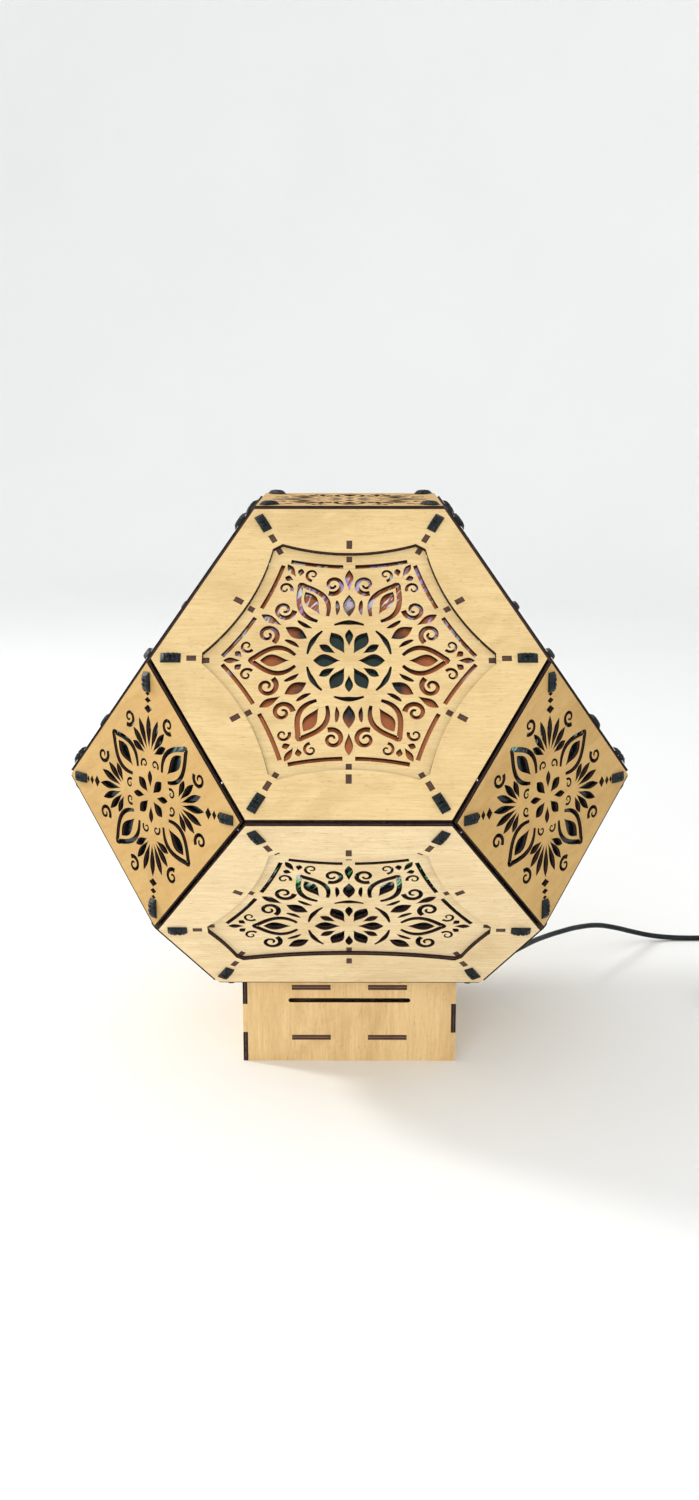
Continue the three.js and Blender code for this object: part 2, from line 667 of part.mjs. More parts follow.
addMesh(lamp, 'cord_coil', coil, BLACK_PVC).position.set(COIL_AT.x, COIL_AT.y, 0);

// ---- In-line rocker switch, the cord running through it along Y ----

// A block that stands on the table, its plan given as points, with bevelled edges.
function bevelledCase(plan, height) {
  const outline = new THREE.Shape(plan.map(([x, y]) => new THREE.Vector2(x, y)));
  const solid = new THREE.ExtrudeGeometry(outline, {
    depth: height - 2 * CASE_BEVEL,
    bevelThickness: CASE_BEVEL,
    bevelSize: CASE_BEVEL,
    bevelOffset: -CASE_BEVEL,
    bevelSegments: 1,
  });
  return solid.translate(0, 0, CASE_BEVEL);
}

const SWITCH_HALF = SWITCH_SIZE.width / 2;
const SWITCH_END = SWITCH_SIZE.length / 2;
const NOSE_HALF = SWITCH_HALF - SWITCH_NOSE.inset;
const NOSE_START = SWITCH_END - SWITCH_NOSE.length;
const switchBlock = bevelledCase([
  [-NOSE_HALF, -SWITCH_END],
  [NOSE_HALF, -SWITCH_END],
  [SWITCH_HALF, -NOSE_START],
  [SWITCH_HALF, NOSE_START],
  [NOSE_HALF, SWITCH_END],
  [-NOSE_HALF, SWITCH_END],
  [-SWITCH_HALF, NOSE_START],
  [-SWITCH_HALF, -NOSE_START],
], SWITCH_SIZE.height);
const cordBore = new THREE.CylinderGeometry(CORD_BORE, CORD_BORE, SWITCH_SIZE.length + 10, 12);
cordBore.translate(0, 0, SWITCH_CORD_Z);
const pocket = box(
  0,
  0,
  SWITCH_SIZE.height - POCKET_DEPTH / 2 + 0.5,
  ROCKER.width + 4 * GAP,
  ROCKER.length + 5 * GAP,
  POCKET_DEPTH + 1,
);
const switchBody = addMesh(lamp, 'switch_body', cut(switchBlock, [cordBore, pocket]), BLACK_PVC);
switchBody.position.copy(SWITCH_AT);

// The rocker's top is a shallow V; at rest it is tipped so that its far half stands up.
const ROCKER_END = ROCKER.length / 2;
const ROCKER_RISE = ROCKER_END * Math.tan(ROCKER_TILT);
const rockerProfile = new THREE.Shape([
  new THREE.Vector2(-ROCKER_END, -ROCKER.edge),
  new THREE.Vector2(0, -ROCKER.keel),
  new THREE.Vector2(ROCKER_END, -ROCKER.edge),
  new THREE.Vector2(ROCKER_END, ROCKER.crown + ROCKER_RISE),
  new THREE.Vector2(0, ROCKER.crown),
  new THREE.Vector2(-ROCKER_END, ROCKER.crown + ROCKER_RISE),
]);
const rockerSolid = new THREE.ExtrudeGeometry(rockerProfile, { depth: ROCKER.width, bevelEnabled: false });
rockerSolid.translate(0, 0, -ROCKER.width / 2).rotateX(Math.PI / 2).rotateZ(Math.PI / 2);
const rocker = addMesh(lamp, 'switch_rocker', rockerSolid, BLACK_NYLON);
rocker.position.set(SWITCH_AT.x, SWITCH_AT.y, ROCKER.pivotZ);
rocker.rotation.x = -ROCKER_TILT;

// ---- Two-pin plug, lying beside the coil, with its pins pointing along -Y ----

const PLUG_HALF = PLUG.width / 2;
const plugBody = bevelledCase([
  [-PLUG_NOSE.half, 0],
  [-PLUG_HALF + PLUG_NOSE.inset, -PLUG_NOSE.shoulder],
  [-PLUG_HALF, -PLUG.length],
  [PLUG_HALF, -PLUG.length],
  [PLUG_HALF - PLUG_NOSE.inset, -PLUG_NOSE.shoulder],
  [PLUG_NOSE.half, 0],
], PLUG.height);
const neck = lathe([
  [0, 0],
  [PLUG_NECK.thick, 0],
  [PLUG_NECK.thin, PLUG_NECK.length + 2],
  [0, PLUG_NECK.length + 2],
], 10).rotateX(-Math.PI / 2).translate(0, -2, PLUG.height / 2);
const pins = [-1, 1].map((side) => {
  const radius = PLUG_PIN.diameter / 2;
  const pin = new THREE.CylinderGeometry(radius, radius, PLUG_PIN.length + 2, 10);
  return pin.translate(side * PLUG_PIN.at, -PLUG.length - PLUG_PIN.length / 2 + 1, PLUG.height / 2);
});
const plug = addMesh(lamp, 'plug', join([plugBody, neck, ...pins]), BLACK_PVC);
plug.position.set(COIL_AT.x + COIL_RADIUS + CORD_DIAMETER, COIL_AT.y - 20 - PLUG_NECK.length, 0);

export default lamp;
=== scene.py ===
from math import asin, atan2, cos, log, pi, radians, sin, sqrt, tan

import bmesh
import bpy
from mathutils import Matrix, Vector
from mathutils.geometry import delaunay_2d_cdt


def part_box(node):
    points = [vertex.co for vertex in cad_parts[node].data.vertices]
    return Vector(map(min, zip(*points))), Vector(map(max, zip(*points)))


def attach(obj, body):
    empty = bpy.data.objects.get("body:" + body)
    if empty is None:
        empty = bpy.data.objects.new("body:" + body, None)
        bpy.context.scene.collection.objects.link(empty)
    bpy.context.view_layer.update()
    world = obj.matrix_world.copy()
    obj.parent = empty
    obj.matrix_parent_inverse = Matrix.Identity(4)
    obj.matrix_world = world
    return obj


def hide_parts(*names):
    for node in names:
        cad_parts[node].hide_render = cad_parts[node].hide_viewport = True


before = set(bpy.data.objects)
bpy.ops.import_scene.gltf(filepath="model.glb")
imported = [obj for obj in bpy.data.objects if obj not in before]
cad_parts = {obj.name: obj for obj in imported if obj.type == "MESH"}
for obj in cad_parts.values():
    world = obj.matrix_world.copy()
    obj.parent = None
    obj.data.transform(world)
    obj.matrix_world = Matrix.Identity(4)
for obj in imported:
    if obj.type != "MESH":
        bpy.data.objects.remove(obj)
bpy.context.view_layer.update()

# A plywood lantern lamp. Sizes are in millimetres, as in the CAD, and MM turns them into metres.
MM = 0.001
SIXTH = pi / 3
QUARTER = pi / 2

PLY = 3
EDGE = 120
UNIT = EDGE / sqrt(2)
HEXAGON_REACH = sqrt(3) * UNIT
SQUARE_REACH = 2 * UNIT
HEXAGON_APOTHEM = sqrt(3) / 2 * EDGE
HEXAGON_TILT = asin(1 / sqrt(3))
BASE_REACH = 133.3
BASE_APOTHEM = (BASE_REACH - HEXAGON_REACH * sin(HEXAGON_TILT)) / cos(HEXAGON_TILT)
BASE_HALF = (HEXAGON_REACH - BASE_REACH * sin(HEXAGON_TILT)) / cos(HEXAGON_TILT)
LANTERN_MIDDLE = Vector((0, 0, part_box("bottom_plate")[0].z / MM + BASE_REACH))
BACKS = {"hexagon": 2.27, "square": 2.18, "base": 1.96}
NO_BACKS = {"hexagon": 0, "square": 0, "base": 0}
SQUARE_BACK = 1.94

PLINTH_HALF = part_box("plinth_front")[1].x / MM
PLINTH_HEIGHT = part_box("plinth_front")[1].z / MM
FINGER = PLINTH_HEIGHT / 3
JOINT_GAP = 0.15
DECK_MIDDLES = (16.5, 51.5)

SIDES = ("front", "right", "back", "left")
SQUARES = ("front_right", "back_right", "back_left", "front_left")


# ---- camera ----

def horizontal(degrees):
    angle = radians(degrees)
    return Vector((cos(angle), sin(angle), 0))


FOCAL_LENGTH = 38.18              # on a 36 mm sensor
CAMERA_AWAY, CAMERA_ABOVE = 1.0503, 0.2442   # metres from the lantern's middle
CAMERA_ASIDE = 0.0041             # metres to the right, and the turn in radians that takes it back
CAMERA_PITCH = radians(13.02)


def link(thing):
    bpy.context.scene.collection.objects.link(thing)
    return thing


def make_camera():
    lens = bpy.data.cameras.new("camera")
    lens.sensor_width = 36
    lens.lens = FOCAL_LENGTH
    lens.clip_start = 0.05
    camera = link(bpy.data.objects.new("camera", lens))
    camera.location = (CAMERA_ASIDE, -CAMERA_AWAY, LANTERN_MIDDLE.z * MM + CAMERA_ABOVE)
    camera.rotation_euler = (QUARTER - CAMERA_PITCH, 0, CAMERA_ASIDE)
    bpy.context.scene.camera = camera


make_camera()


# ---- material nodes ----

class Surface:
    """A Principled material whose nodes are built up from Object coordinates."""

    def __init__(self, name, **sockets):
        self.material = bpy.data.materials.new(name)
        self.material.use_nodes = True
        self.nodes = self.material.node_tree.nodes
        self.shader = self.nodes["Principled BSDF"]
        self.place = self.nodes.new("ShaderNodeTexCoord").outputs["Object"]
        self.dial(self.shader, **sockets)

    def dial(self, node, **values):
        for name, value in values.items():
            node.inputs[name.replace("_", " ")].default_value = value

    def link(self, source, target):
        self.material.node_tree.links.new(source, target)

    def node(self, kind, **settings):
        made = self.nodes.new("ShaderNode" + kind)
        for setting, value in settings.items():
            setattr(made, setting, value)
        return made

    def feed(self, socket, value):
        if isinstance(value, bpy.types.NodeSocket):
            self.link(value, socket)
        else:
            socket.default_value = value

    def noise(self, scale, detail, rough=0.5, distortion=0.0, turn=0.0, varied=False):
        """Noise over Object coordinates, turned about Z, then scaled along each axis."""
        mapping = self.node("Mapping", vector_type="TEXTURE")
        source = self.place
        if varied:
            shift = self.node("VectorMath", operation="ADD")
            random = self.node("ObjectInfo").outputs["Random"]
            self.link(self.place, shift.inputs[0])
            self.link(self.maths("MULTIPLY", random, 3.7), shift.inputs[1])
            source = shift.outputs[0]
        self.link(source, mapping.inputs["Vector"])
        self.dial(mapping, Rotation=(0, 0, turn), Scale=[1 / size for size in scale])
        made = self.node("TexNoise")
        self.link(mapping.outputs["Vector"], made.inputs["Vector"])
        self.dial(made, Scale=1, Detail=detail, Roughness=rough, Distortion=distortion)
        return made.outputs["Fac"]

    def maths(self, operation, a, b=0.0):
        made = self.node("Math", operation=operation)
        self.feed(made.inputs[0], a)
        self.feed(made.inputs[1], b)
        return made.outputs[0]

    def between(self, value, low, high, to_low=0.0, to_high=1.0):
        made = self.node("MapRange", interpolation_type="SMOOTHSTEP")
        self.link(value, made.inputs["Value"])
        self.dial(made, From_Min=low, From_Max=high, To_Min=to_low, To_Max=to_high)
        return made.outputs["Result"]

    def mix(self, factor, a, b):
        made = self.node("Mix", data_type="RGBA")
        self.feed(made.inputs["Factor"], factor)
        self.feed(made.inputs[6], a)
        self.feed(made.inputs[7], b)
        return made.outputs[2]

    def colour(self, source):
        self.link(source, self.shader.inputs["Base Color"])

    def roughness(self, source):
        self.link(source, self.shader.inputs["Roughness"])

    def bump(self, height, strength, distance):
        made = self.node("Bump")
        self.dial(made, Strength=strength, Distance=distance * MM)
        self.link(height, made.inputs["Height"])
        self.link(made.outputs["Normal"], self.shader.inputs["Normal"])


def rgb(red, green, blue):
    """A colour given in display values from 0 to 255."""
    def linear(value):
        value /= 255
        return value / 12.92 if value <= 0.04045 else ((value + 0.055) / 1.055) ** 2.4
    return (*map(linear, (red, green, blue)), 1)


# ---- materials ----

def plywood(name, pale, deep, turn=0.0):
    """Sanded birch: long faint figure, fine streaks and short dark pores along the grain."""
    wood = Surface(name, Roughness=0.6, Specular_IOR_Level=0.35)
    figure = wood.noise((11, 110, 110), 4, 0.6, 1.1, turn=turn, varied=True)
    cloud = wood.noise((22, 34, 34), 4, 0.62, 0.8, turn=turn, varied=True)
    streaks = wood.noise((60, 1100, 1100), 5, 0.72, turn=turn, varied=True)
    pores = wood.noise((240, 2400, 2400), 2, 0.5, turn=turn, varied=True)
    tone = wood.mix(wood.between(figure, 0.3, 0.74, 0, 0.55), pale, deep)
    deepest = [0.86 * value for value in deep[:3]] + [1]
    tone = wood.mix(wood.between(cloud, 0.44, 0.72, 0, 0.5), tone, deepest)
    tone = wood.mix(wood.between(streaks, 0.36, 0.74, 0, 0.4), tone, rgb(196, 150, 92))
    tone = wood.mix(wood.between(pores, 0.62, 0.76, 0, 0.55), tone, rgb(132, 92, 52))
    wood.colour(tone)
    wood.roughness(wood.between(streaks, 0.2, 0.8, 0.5, 0.72))
    wood.bump(wood.maths("ADD", streaks, wood.maths("MULTIPLY", pores, 0.5)), 0.35, 0.12)
    return wood.material


def burnt_edge(name, dark, light):
    """A laser-cut edge: charred, with the three plies showing as faint layers along Z."""
    char = Surface(name, Roughness=0.75, Specular_IOR_Level=0.25)
    axes = char.node("SeparateXYZ")
    char.link(char.place, axes.inputs[0])
    depth = char.maths("MULTIPLY", axes.outputs["Z"], 2 * pi / (PLY * MM) * 1.5)
    layer = char.between(char.maths("SINE", depth), -0.3, 0.6)
    soot = char.noise((180, 180, 900), 4, 0.65)
    tone = char.mix(layer, dark, light)
    tone = char.mix(char.between(soot, 0.4, 0.7, 0, 0.65), tone, dark)
    char.colour(tone)
    char.bump(soot, 0.5, 0.15)
    return char.material


def plastic(name, tone, worn, roughness, grain):
    """Moulded plastic with a fine spark-eroded texture and rubbed patches scattered at random."""
    shell = Surface(name, Roughness=roughness, Specular_IOR_Level=0.3)
    patch = shell.noise((60, 60, 60), 4, 0.6)
    fine = shell.noise((grain, grain, grain), 2, 0.5)
    shell.colour(shell.mix(shell.between(patch, 0.35, 0.75), tone, worn))
    shell.roughness(shell.between(patch, 0.3, 0.7, roughness - 0.06, roughness + 0.1))
    shell.bump(fine, 0.25, 0.06)
    return shell.material


def metal(name, tone, roughness):
    bright = Surface(name, Metallic=1.0, Roughness=roughness)
    marks = bright.noise((200, 200, 1200), 3, 0.6)
    bright.colour(bright.mix(bright.between(marks, 0.35, 0.7), tone, rgb(120, 118, 112)))
    bright.roughness(bright.between(marks, 0.3, 0.7, roughness, roughness + 0.15))
    return bright.material


def opal_glass():
    glass = Surface("opal_glass", Roughness=0.22, Specular_IOR_Level=0.5)
    haze = glass.noise((30, 30, 30), 3, 0.5)
    glass.colour(glass.mix(glass.between(haze, 0.3, 0.7), rgb(246, 244, 238), rgb(236, 232, 222)))
    return glass.material


def film(name, stops, glint, glint_from, size):
    """Film coloured in bands round the panel's middle, with creases. The bands are partly the film's own
    tint and partly painted light: painted shade of the lantern's inside seen through the film, darkest at
    the middle, and painted glints (highlights) near the top.
    """
    sheen = Surface(name, Metallic=0.35, Roughness=0.22, Specular_IOR_Level=0.6)
    middle = sheen.node("VectorMath", operation="LENGTH")
    sheen.link(sheen.place, middle.inputs[0])
    axes = sheen.node("SeparateXYZ")
    sheen.link(sheen.place, axes.inputs[0])
    warp = sheen.noise((30, 30, 30), 4, 0.6, 1.2, varied=True)
    reach = sheen.maths("MULTIPLY", middle.outputs["Value"], 1 / (size * MM))
    warped = sheen.maths("ADD", reach, sheen.maths("MULTIPLY", sheen.maths("SUBTRACT", warp, 0.5), 0.3))
    # The colour stops paint the light and shade of the lantern's inside seen through the film, along with
    # the film's own tint.
    ramp = sheen.node("ValToRGB")
    sheen.link(warped, ramp.inputs["Fac"])
    while len(ramp.color_ramp.elements) < len(stops):
        ramp.color_ramp.elements.new(0.5)
    for element, (position, *tone) in zip(ramp.color_ramp.elements, stops):
        element.position = position
        element.color = rgb(*tone)
    # Painted glints: bright streaks of painted highlight, strongest towards the top of the panel.
    streak = sheen.noise((40, 190, 40), 3, 0.55, 1.4, turn=0.9, varied=True)
    height = sheen.maths("MULTIPLY", axes.outputs["Y"], 0.5 / (size * MM))
    upward = sheen.maths("ADD", sheen.maths("MULTIPLY", warped, 0.6), height)
    where = sheen.between(upward, glint_from, glint_from + 0.2)
    amount = sheen.maths("MULTIPLY", where, sheen.between(streak, 0.5, 0.55))
    tint = sheen.noise((55, 55, 55), 2, 0.5)
    bright = sheen.mix(sheen.between(tint, 0.4, 0.6), glint, rgb(232, 240, 246))
    sheen.colour(sheen.mix(amount, ramp.outputs["Color"], bright))
    crease = sheen.noise((70, 70, 70), 3, 0.5, 0.8)
    sheen.roughness(sheen.between(crease, 0.3, 0.7, 0.14, 0.34))
    sheen.bump(crease, 0.5, 0.6)
    return sheen.material


HEXAGON_WOOD = plywood("hexagon_wood", rgb(234, 207, 152), rgb(220, 187, 127))
# The lower hexagons' wood is a paler copy of the hexagons' wood: painted light for the bounce from the
# bright floor.
LOWER_WOOD = plywood("lower_wood", rgb(244, 223, 180), rgb(230, 201, 150))
# The squares' wood is a darker, more golden copy; its darkness is partly painted shade for the upright
# faces, which take less light than the tilted hexagons.
SQUARE_WOOD = plywood("square_wood", rgb(205, 169, 107), rgb(188, 148, 82), turn=0.5)
PLINTH_WOOD = plywood("plinth_wood", rgb(236, 205, 150), rgb(210, 172, 114), turn=QUARTER)
EDGE_BURN = burnt_edge("burnt_edge", rgb(34, 24, 24), rgb(84, 58, 48))
TAB_BURN = burnt_edge("burnt_tab", rgb(70, 48, 42), rgb(124, 92, 74))
NYLON = plastic("black_nylon", rgb(4, 16, 21), rgb(10, 26, 32), 0.46, 2400)
PVC = plastic("black_pvc", rgb(6, 16, 20), rgb(12, 25, 30), 0.44, 1600)
WHITE = plastic("white_plastic", rgb(236, 235, 230), rgb(224, 222, 214), 0.35, 1200)
BRASS = metal("nickelled_brass", rgb(206, 200, 186), 0.22)
GLASS = opal_glass()
# One film in four painted copies, lit and shaded by where the panel faces: orange-brown round a dark
# middle on the upper hexagons, near-black on the lower hexagons and upright squares, brown-grey on top.
# The dark parts are painted shade of the lantern's inside, and the lilac, green and white glints are
# painted highlights.
UPPER_FILM = film(
    "film_upper",
    [(0.0, 8, 26, 22), (0.2, 16, 40, 32), (0.36, 40, 36, 38), (0.43, 148, 78, 36),
     (0.7, 192, 108, 54), (1.0, 166, 94, 50)],
    rgb(196, 172, 238), 0.36, 88,
)
LOWER_FILM = film(
    "film_lower",
    [(0.0, 8, 18, 18), (0.5, 10, 24, 22), (0.8, 14, 34, 30), (1.0, 20, 60, 44)],
    rgb(110, 240, 130), 0.4, 88,
)
SQUARE_FILM = film(
    "film_square",
    [(0.0, 8, 18, 20), (0.5, 12, 24, 26), (1.0, 16, 30, 34)],
    rgb(150, 214, 214), 0.38, 84,
)
TOP_FILM = film(
    "film_top",
    [(0.0, 60, 36, 30), (0.5, 96, 60, 50), (1.0, 120, 84, 74)],
    rgb(200, 196, 204), 0.3, 84,
)


# ---- plane shapes ----

def polar(radius, angle):
    return Vector((radius * cos(angle), radius * sin(angle)))


def turned(loop, angle, x=0.0, y=0.0):
    cosine, sine = cos(angle), sin(angle)
    return [Vector((x + p[0] * cosine - p[1] * sine, y + p[0] * sine + p[1] * cosine)) for p in loop]


def mirrored(loop):
    return [Vector((p[0], -p[1])) for p in reversed(loop)]


def anticlockwise(loop):
    area = sum(a[0] * b[1] - a[1] * b[0] for a, b in zip(loop, loop[1:] + loop[:1]))
    return loop if area > 0 else loop[::-1]


def arc(centre, radius, start, end, steps):
    return [Vector(centre) + polar(radius, start + (end - start) * i / steps) for i in range(steps + 1)]


def disc(x, y, radius, steps):
    return arc((x, y), radius, 0, 2 * pi * (1 - 1 / steps), steps - 1)


def rectangle(place, length, width):
    x, y, angle = place
    half, side = length / 2, width / 2
    return turned([(-half, -side), (half, -side), (half, side), (-half, side)], angle, x, y)


def smooth(points, steps):
    """A Catmull-Rom curve through points with any number of coordinates."""
    points = [Vector(p) for p in points]
    made = []
    for i in range(len(points) - 1):
        before = points[max(i - 1, 0)]
        start, end = points[i], points[i + 1]
        after = points[min(i + 2, len(points) - 1)]
        for j in range(steps):
            t = j / steps
            made.append(
                (2 * start + (end - before) * t + (2 * before - 5 * start + 4 * end - after) * t * t
                 + (3 * start - before - 3 * end + after) * t ** 3) / 2
            )
    return made + [points[-1]]


def stroke(points, steps=5):
    """The outline of a brush stroke that passes through (x, y, width) points."""
    line = smooth(points, steps)
    left, right = [], []
    for i, (x, y, width) in enumerate(line):
        heading = (line[min(i + 1, len(line) - 1)] - line[max(i - 1, 0)]).xy.normalized()
        side = Vector((-heading.y, heading.x)) * max(width, 0.3) / 2
        left.append(Vector((x, y)) + side)
        right.append(Vector((x, y)) - side)
    return left + right[::-1]


def both_sides(points):
    """Stroke points on one side of the X axis, ending on it, carried on to the other side."""
    return points + [(x, -y, width) for x, y, width in reversed(points[:-1])]


def corners_of(edges):
    """Corners of a polygon whose edges are (outward angle, distance from the middle)."""
    corners = []
    for i, (angle, reach) in enumerate(edges):
        next_angle, next_reach = edges[(i + 1) % len(edges)]
        turn = sin(next_angle - angle)
        corners.append(Vector((
            (reach * sin(next_angle) - next_reach * sin(angle)) / turn,
            (next_reach * cos(angle) - reach * cos(next_angle)) / turn,
        )))
    return corners


# ---- solids ----

def add_object(name, mesh, matrix, materials, slot=None, replaces=None, body="root"):
    piece = link(bpy.data.objects.new(name, mesh))
    piece.matrix_world = matrix
    if not mesh.materials:
        for material in materials:
            mesh.materials.append(material)
    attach(piece, body)
    if replaces:
        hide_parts(replaces)
    return piece


def add_part(name, part, *rest):
    return add_object(name, mesh_of(name, *part), *rest)


def spin(angle, axis):
    return Matrix.Rotation(angle, 4, axis)


def mesh_of(name, points, faces, finishes=None, sharp=35):
    """A mesh in metres from points in millimetres, smooth except where faces meet sharply."""
    mesh = bpy.data.meshes.new(name)
    mesh.from_pydata([Vector(p) * MM for p in points], [], faces)
    if finishes:
        mesh.polygons.foreach_set("material_index", finishes)
    mesh.polygons.foreach_set("use_smooth", [True] * len(faces))
    mesh.update()
    mesh.set_sharp_from_angle(angle=radians(sharp))
    return mesh


def pierced_plate(outline, holes, top=0.0, thickness=PLY):
    """Points, faces and finishes of a flat plate: 0 on its two faces, 1 on its cut edges."""
    flat, wanted = [], []
    for loop in (outline, *holes):
        wanted.append([len(flat) + i for i in range(len(loop))])
        flat += [Vector(p) for p in anticlockwise(loop)]
    found = delaunay_2d_cdt(flat, [], wanted, 0, 1e-4)
    spots, triangles, owners = found[0], found[2], found[5]
    kept = [list(face) for face, owner in zip(triangles, owners) if set(owner) == {0}]
    used = sorted({i for face in kept for i in face})
    number = {old: new for new, old in enumerate(used)}
    kept = [[number[i] for i in face] for face in kept]
    count = len(used)
    points = [(spots[i].x, spots[i].y, top) for i in used]
    points += [(spots[i].x, spots[i].y, top - thickness) for i in used]
    faces = kept + [[i + count for i in reversed(face)] for face in kept]
    finishes = [0] * len(faces)
    directed = {(face[i], face[(i + 1) % 3]) for face in kept for i in range(3)}
    for a, b in sorted(directed):
        if (b, a) not in directed:
            faces.append([a + count, b + count, b, a])
            finishes.append(1)
    return points, faces, finishes


def joined(*parts):
    points, faces, finishes = [], [], []
    for more_points, more_faces, more_finishes in parts:
        start = len(points)
        points += more_points
        faces += [[i + start for i in face] for face in more_faces]
        finishes += more_finishes
    return points, faces, finishes


def placed(part, matrix):
    points, faces, finishes = part
    return [matrix @ Vector(p) for p in points], faces, finishes


def skin(rings):
    """Faces between rings of point numbers; a ring of one repeated point makes triangles."""
    faces = []
    for low, high in zip(rings, rings[1:]):
        for i in range(len(low)):
            j = (i + 1) % len(low)
            corners = list(dict.fromkeys((low[i], low[j], high[j], high[i])))
            if len(corners) > 2:
                faces.append(corners)
    return faces


def lathe(profile, steps):
    """A solid turned about Z from (radius, z) points; the profile starts and ends on the axis."""
    points, rings = [], []
    for radius, z in profile:
        if radius == 0:
            rings.append([len(points)] * steps)
            points.append((0, 0, z))
        else:
            rings.append([len(points) + i for i in range(steps)])
            points += [(*polar(radius, 2 * pi * i / steps), z) for i in range(steps)]
    faces = skin(rings)
    return points, faces, [0] * len(faces)


def loft(sections):
    """A solid through closed sections of equal point counts, capped at both ends."""
    count = len(sections[0])
    points = [p for section in sections for p in section]
    rings = [list(range(k * count, (k + 1) * count)) for k in range(len(sections))]
    faces = [rings[0][::-1], *skin(rings), rings[-1]]
    return points, faces, [0] * len(faces)


def block(low, high):
    """A box with its upright edges and its rims eased."""
    (x0, y0, z0), (x1, y1, z1) = low, high
    bevel = 0.3
    def ring(inset, z):
        e = bevel + inset
        return [
            (x0 + inset, y0 + e, z), (x0 + e, y0 + inset, z), (x1 - e, y0 + inset, z),
            (x1 - inset, y0 + e, z), (x1 - inset, y1 - e, z), (x1 - e, y1 - inset, z),
            (x0 + e, y1 - inset, z), (x0 + inset, y1 - e, z),
        ]
    return loft([ring(bevel, z0), ring(0, z0 + bevel), ring(0, z1 - bevel), ring(bevel, z1)])


def axes_at(across, outward, origin):
    """A matrix with X across, Z outward and the given origin."""
    matrix = Matrix((across, outward.cross(across), outward)).transposed().to_4x4()
    matrix.translation = origin
    return matrix


def face_frame(outward, across, reach, middle=LANTERN_MIDDLE):
    return axes_at(across, outward, (outward * reach + middle) * MM)


# ---- hexagons ----

OPENING_FLAT_AT = 87.2
OPENING_FLAT_HALF = 3.5
OPENING_BULGE = 6.27
BASE_FLAT = (68.95, -31.5, radians(-56.3))
BASE_FLAT_HALF = 2.7
SHORT_SIDE_BULGE = 0.9
BASE_BULGE = 6
FRETWORK_MARGIN = 0.3
TAB_LENGTH = 5.3
TAB_AT_CORNER = 93.5
TAB_AT_SIDE = 76.7
TAB_AT_BASE = 33.5
TAB_PAST_FLAT = 6.3
INNER_TAB = 3.4
INNER_TAB_BACK = 8.6      # an outer tab's middle to the inner tab's
BRACKET_INWARD = 13.5
BRACKET_DEPTH = 11
SLIP = 0.25               # clearance of a tab in its slot
ARC_STEPS = 28


def hexagon_edges(is_lower, backs):
    edges = []
    for k in range(6):
        angle = QUARTER + k * SIXTH
        if is_lower and k == 3:
            edges.append((angle, BASE_APOTHEM - backs["base"]))
        else:
            meets_square = (k % 2 == 0) != is_lower
            edges.append((angle, HEXAGON_APOTHEM - backs["square" if meets_square else "hexagon"]))
    return edges


def opening_flats(is_lower):
    """The opening's short flats: (x, y, angle, half length, bulge of the side after it)."""
    flats = []
    for k in range(4 if is_lower else 6):
        bulge = SHORT_SIDE_BULGE if is_lower and k == 3 else OPENING_BULGE
        flats.append((*polar(OPENING_FLAT_AT, k * SIXTH), k * SIXTH, OPENING_FLAT_HALF, bulge))
    if is_lower:
        x, y, angle = BASE_FLAT
        flats.append((-x, y, pi - angle, BASE_FLAT_HALF, BASE_BULGE))
        flats.append((x, y, angle, BASE_FLAT_HALF, SHORT_SIDE_BULGE))
    return flats


def opening_outline(is_lower, margin):
    ends = []
    for x, y, angle, half, bulge in opening_flats(is_lower):
        middle = Vector((x, y)) - polar(margin, angle)
        side = polar(half - margin / 2, angle + QUARTER)
        ends.append((middle - side, middle + side, bulge))
    loop = []
    for i, (_, start, bulge) in enumerate(ends):
        end = ends[(i + 1) % len(ends)][0]
        chord = end - start
        half = chord.length / 2
        radius = (half * half + bulge * bulge) / (2 * bulge)
        out = Vector((chord.y, -chord.x)).normalized()
        centre = (start + end) / 2 + out * (radius - bulge)
        from_angle = atan2(*(start - centre).yx)
        sweep = -2 * asin(half / radius)
        loop += arc(centre, radius, from_angle, from_angle + sweep, ARC_STEPS)
    return loop


def bracket_places(is_lower):
    places = []
    for k in range(6):
        corner, side = k * SIXTH, (k + 0.5) * SIXTH
        if not is_lower or k < 4:
            places.append((*polar(TAB_AT_CORNER, corner), corner))
        if not is_lower or k < 3:
            places.append((*polar(TAB_AT_SIDE, side), side))
    if is_lower:
        x, y, angle = BASE_FLAT
        tab = Vector((x, y)) + polar(TAB_PAST_FLAT, angle)
        places += [(tab.x, tab.y, angle), (-tab.x, tab.y, pi - angle), (0, -TAB_AT_BASE, -QUARTER)]
    return places


HEAD_INSET = 14.2
LEG_LENGTH, LEG_WIDTH = 7.2, 2.8
LEG_SLIP = 0.3


def leg_slots(edges):
    slots = []
    for i, corner in enumerate(corners_of(edges)):
        turn = (edges[(i + 1) % len(edges)][0] - edges[i][0]) % (2 * pi)
        angle = edges[i][0] + turn / 2
        place = (*(corner - polar(HEAD_INSET, angle)), angle)
        slots.append(rectangle(place, LEG_LENGTH + 2 * LEG_SLIP, LEG_WIDTH + 2 * LEG_SLIP))
    return slots


def hexagon_panel(is_lower):
    holes = [opening_outline(is_lower, 0), *leg_slots(hexagon_edges(is_lower, NO_BACKS))]
    for place in bracket_places(is_lower):
        holes.append(rectangle(place, TAB_LENGTH + 2 * SLIP, PLY + 2 * SLIP))
    return pierced_plate(corners_of(hexagon_edges(is_lower, BACKS)), holes)


def inner_tab(place):
    x, y, angle = place
    return (*(Vector((x, y)) - polar(INNER_TAB_BACK, angle)), angle)


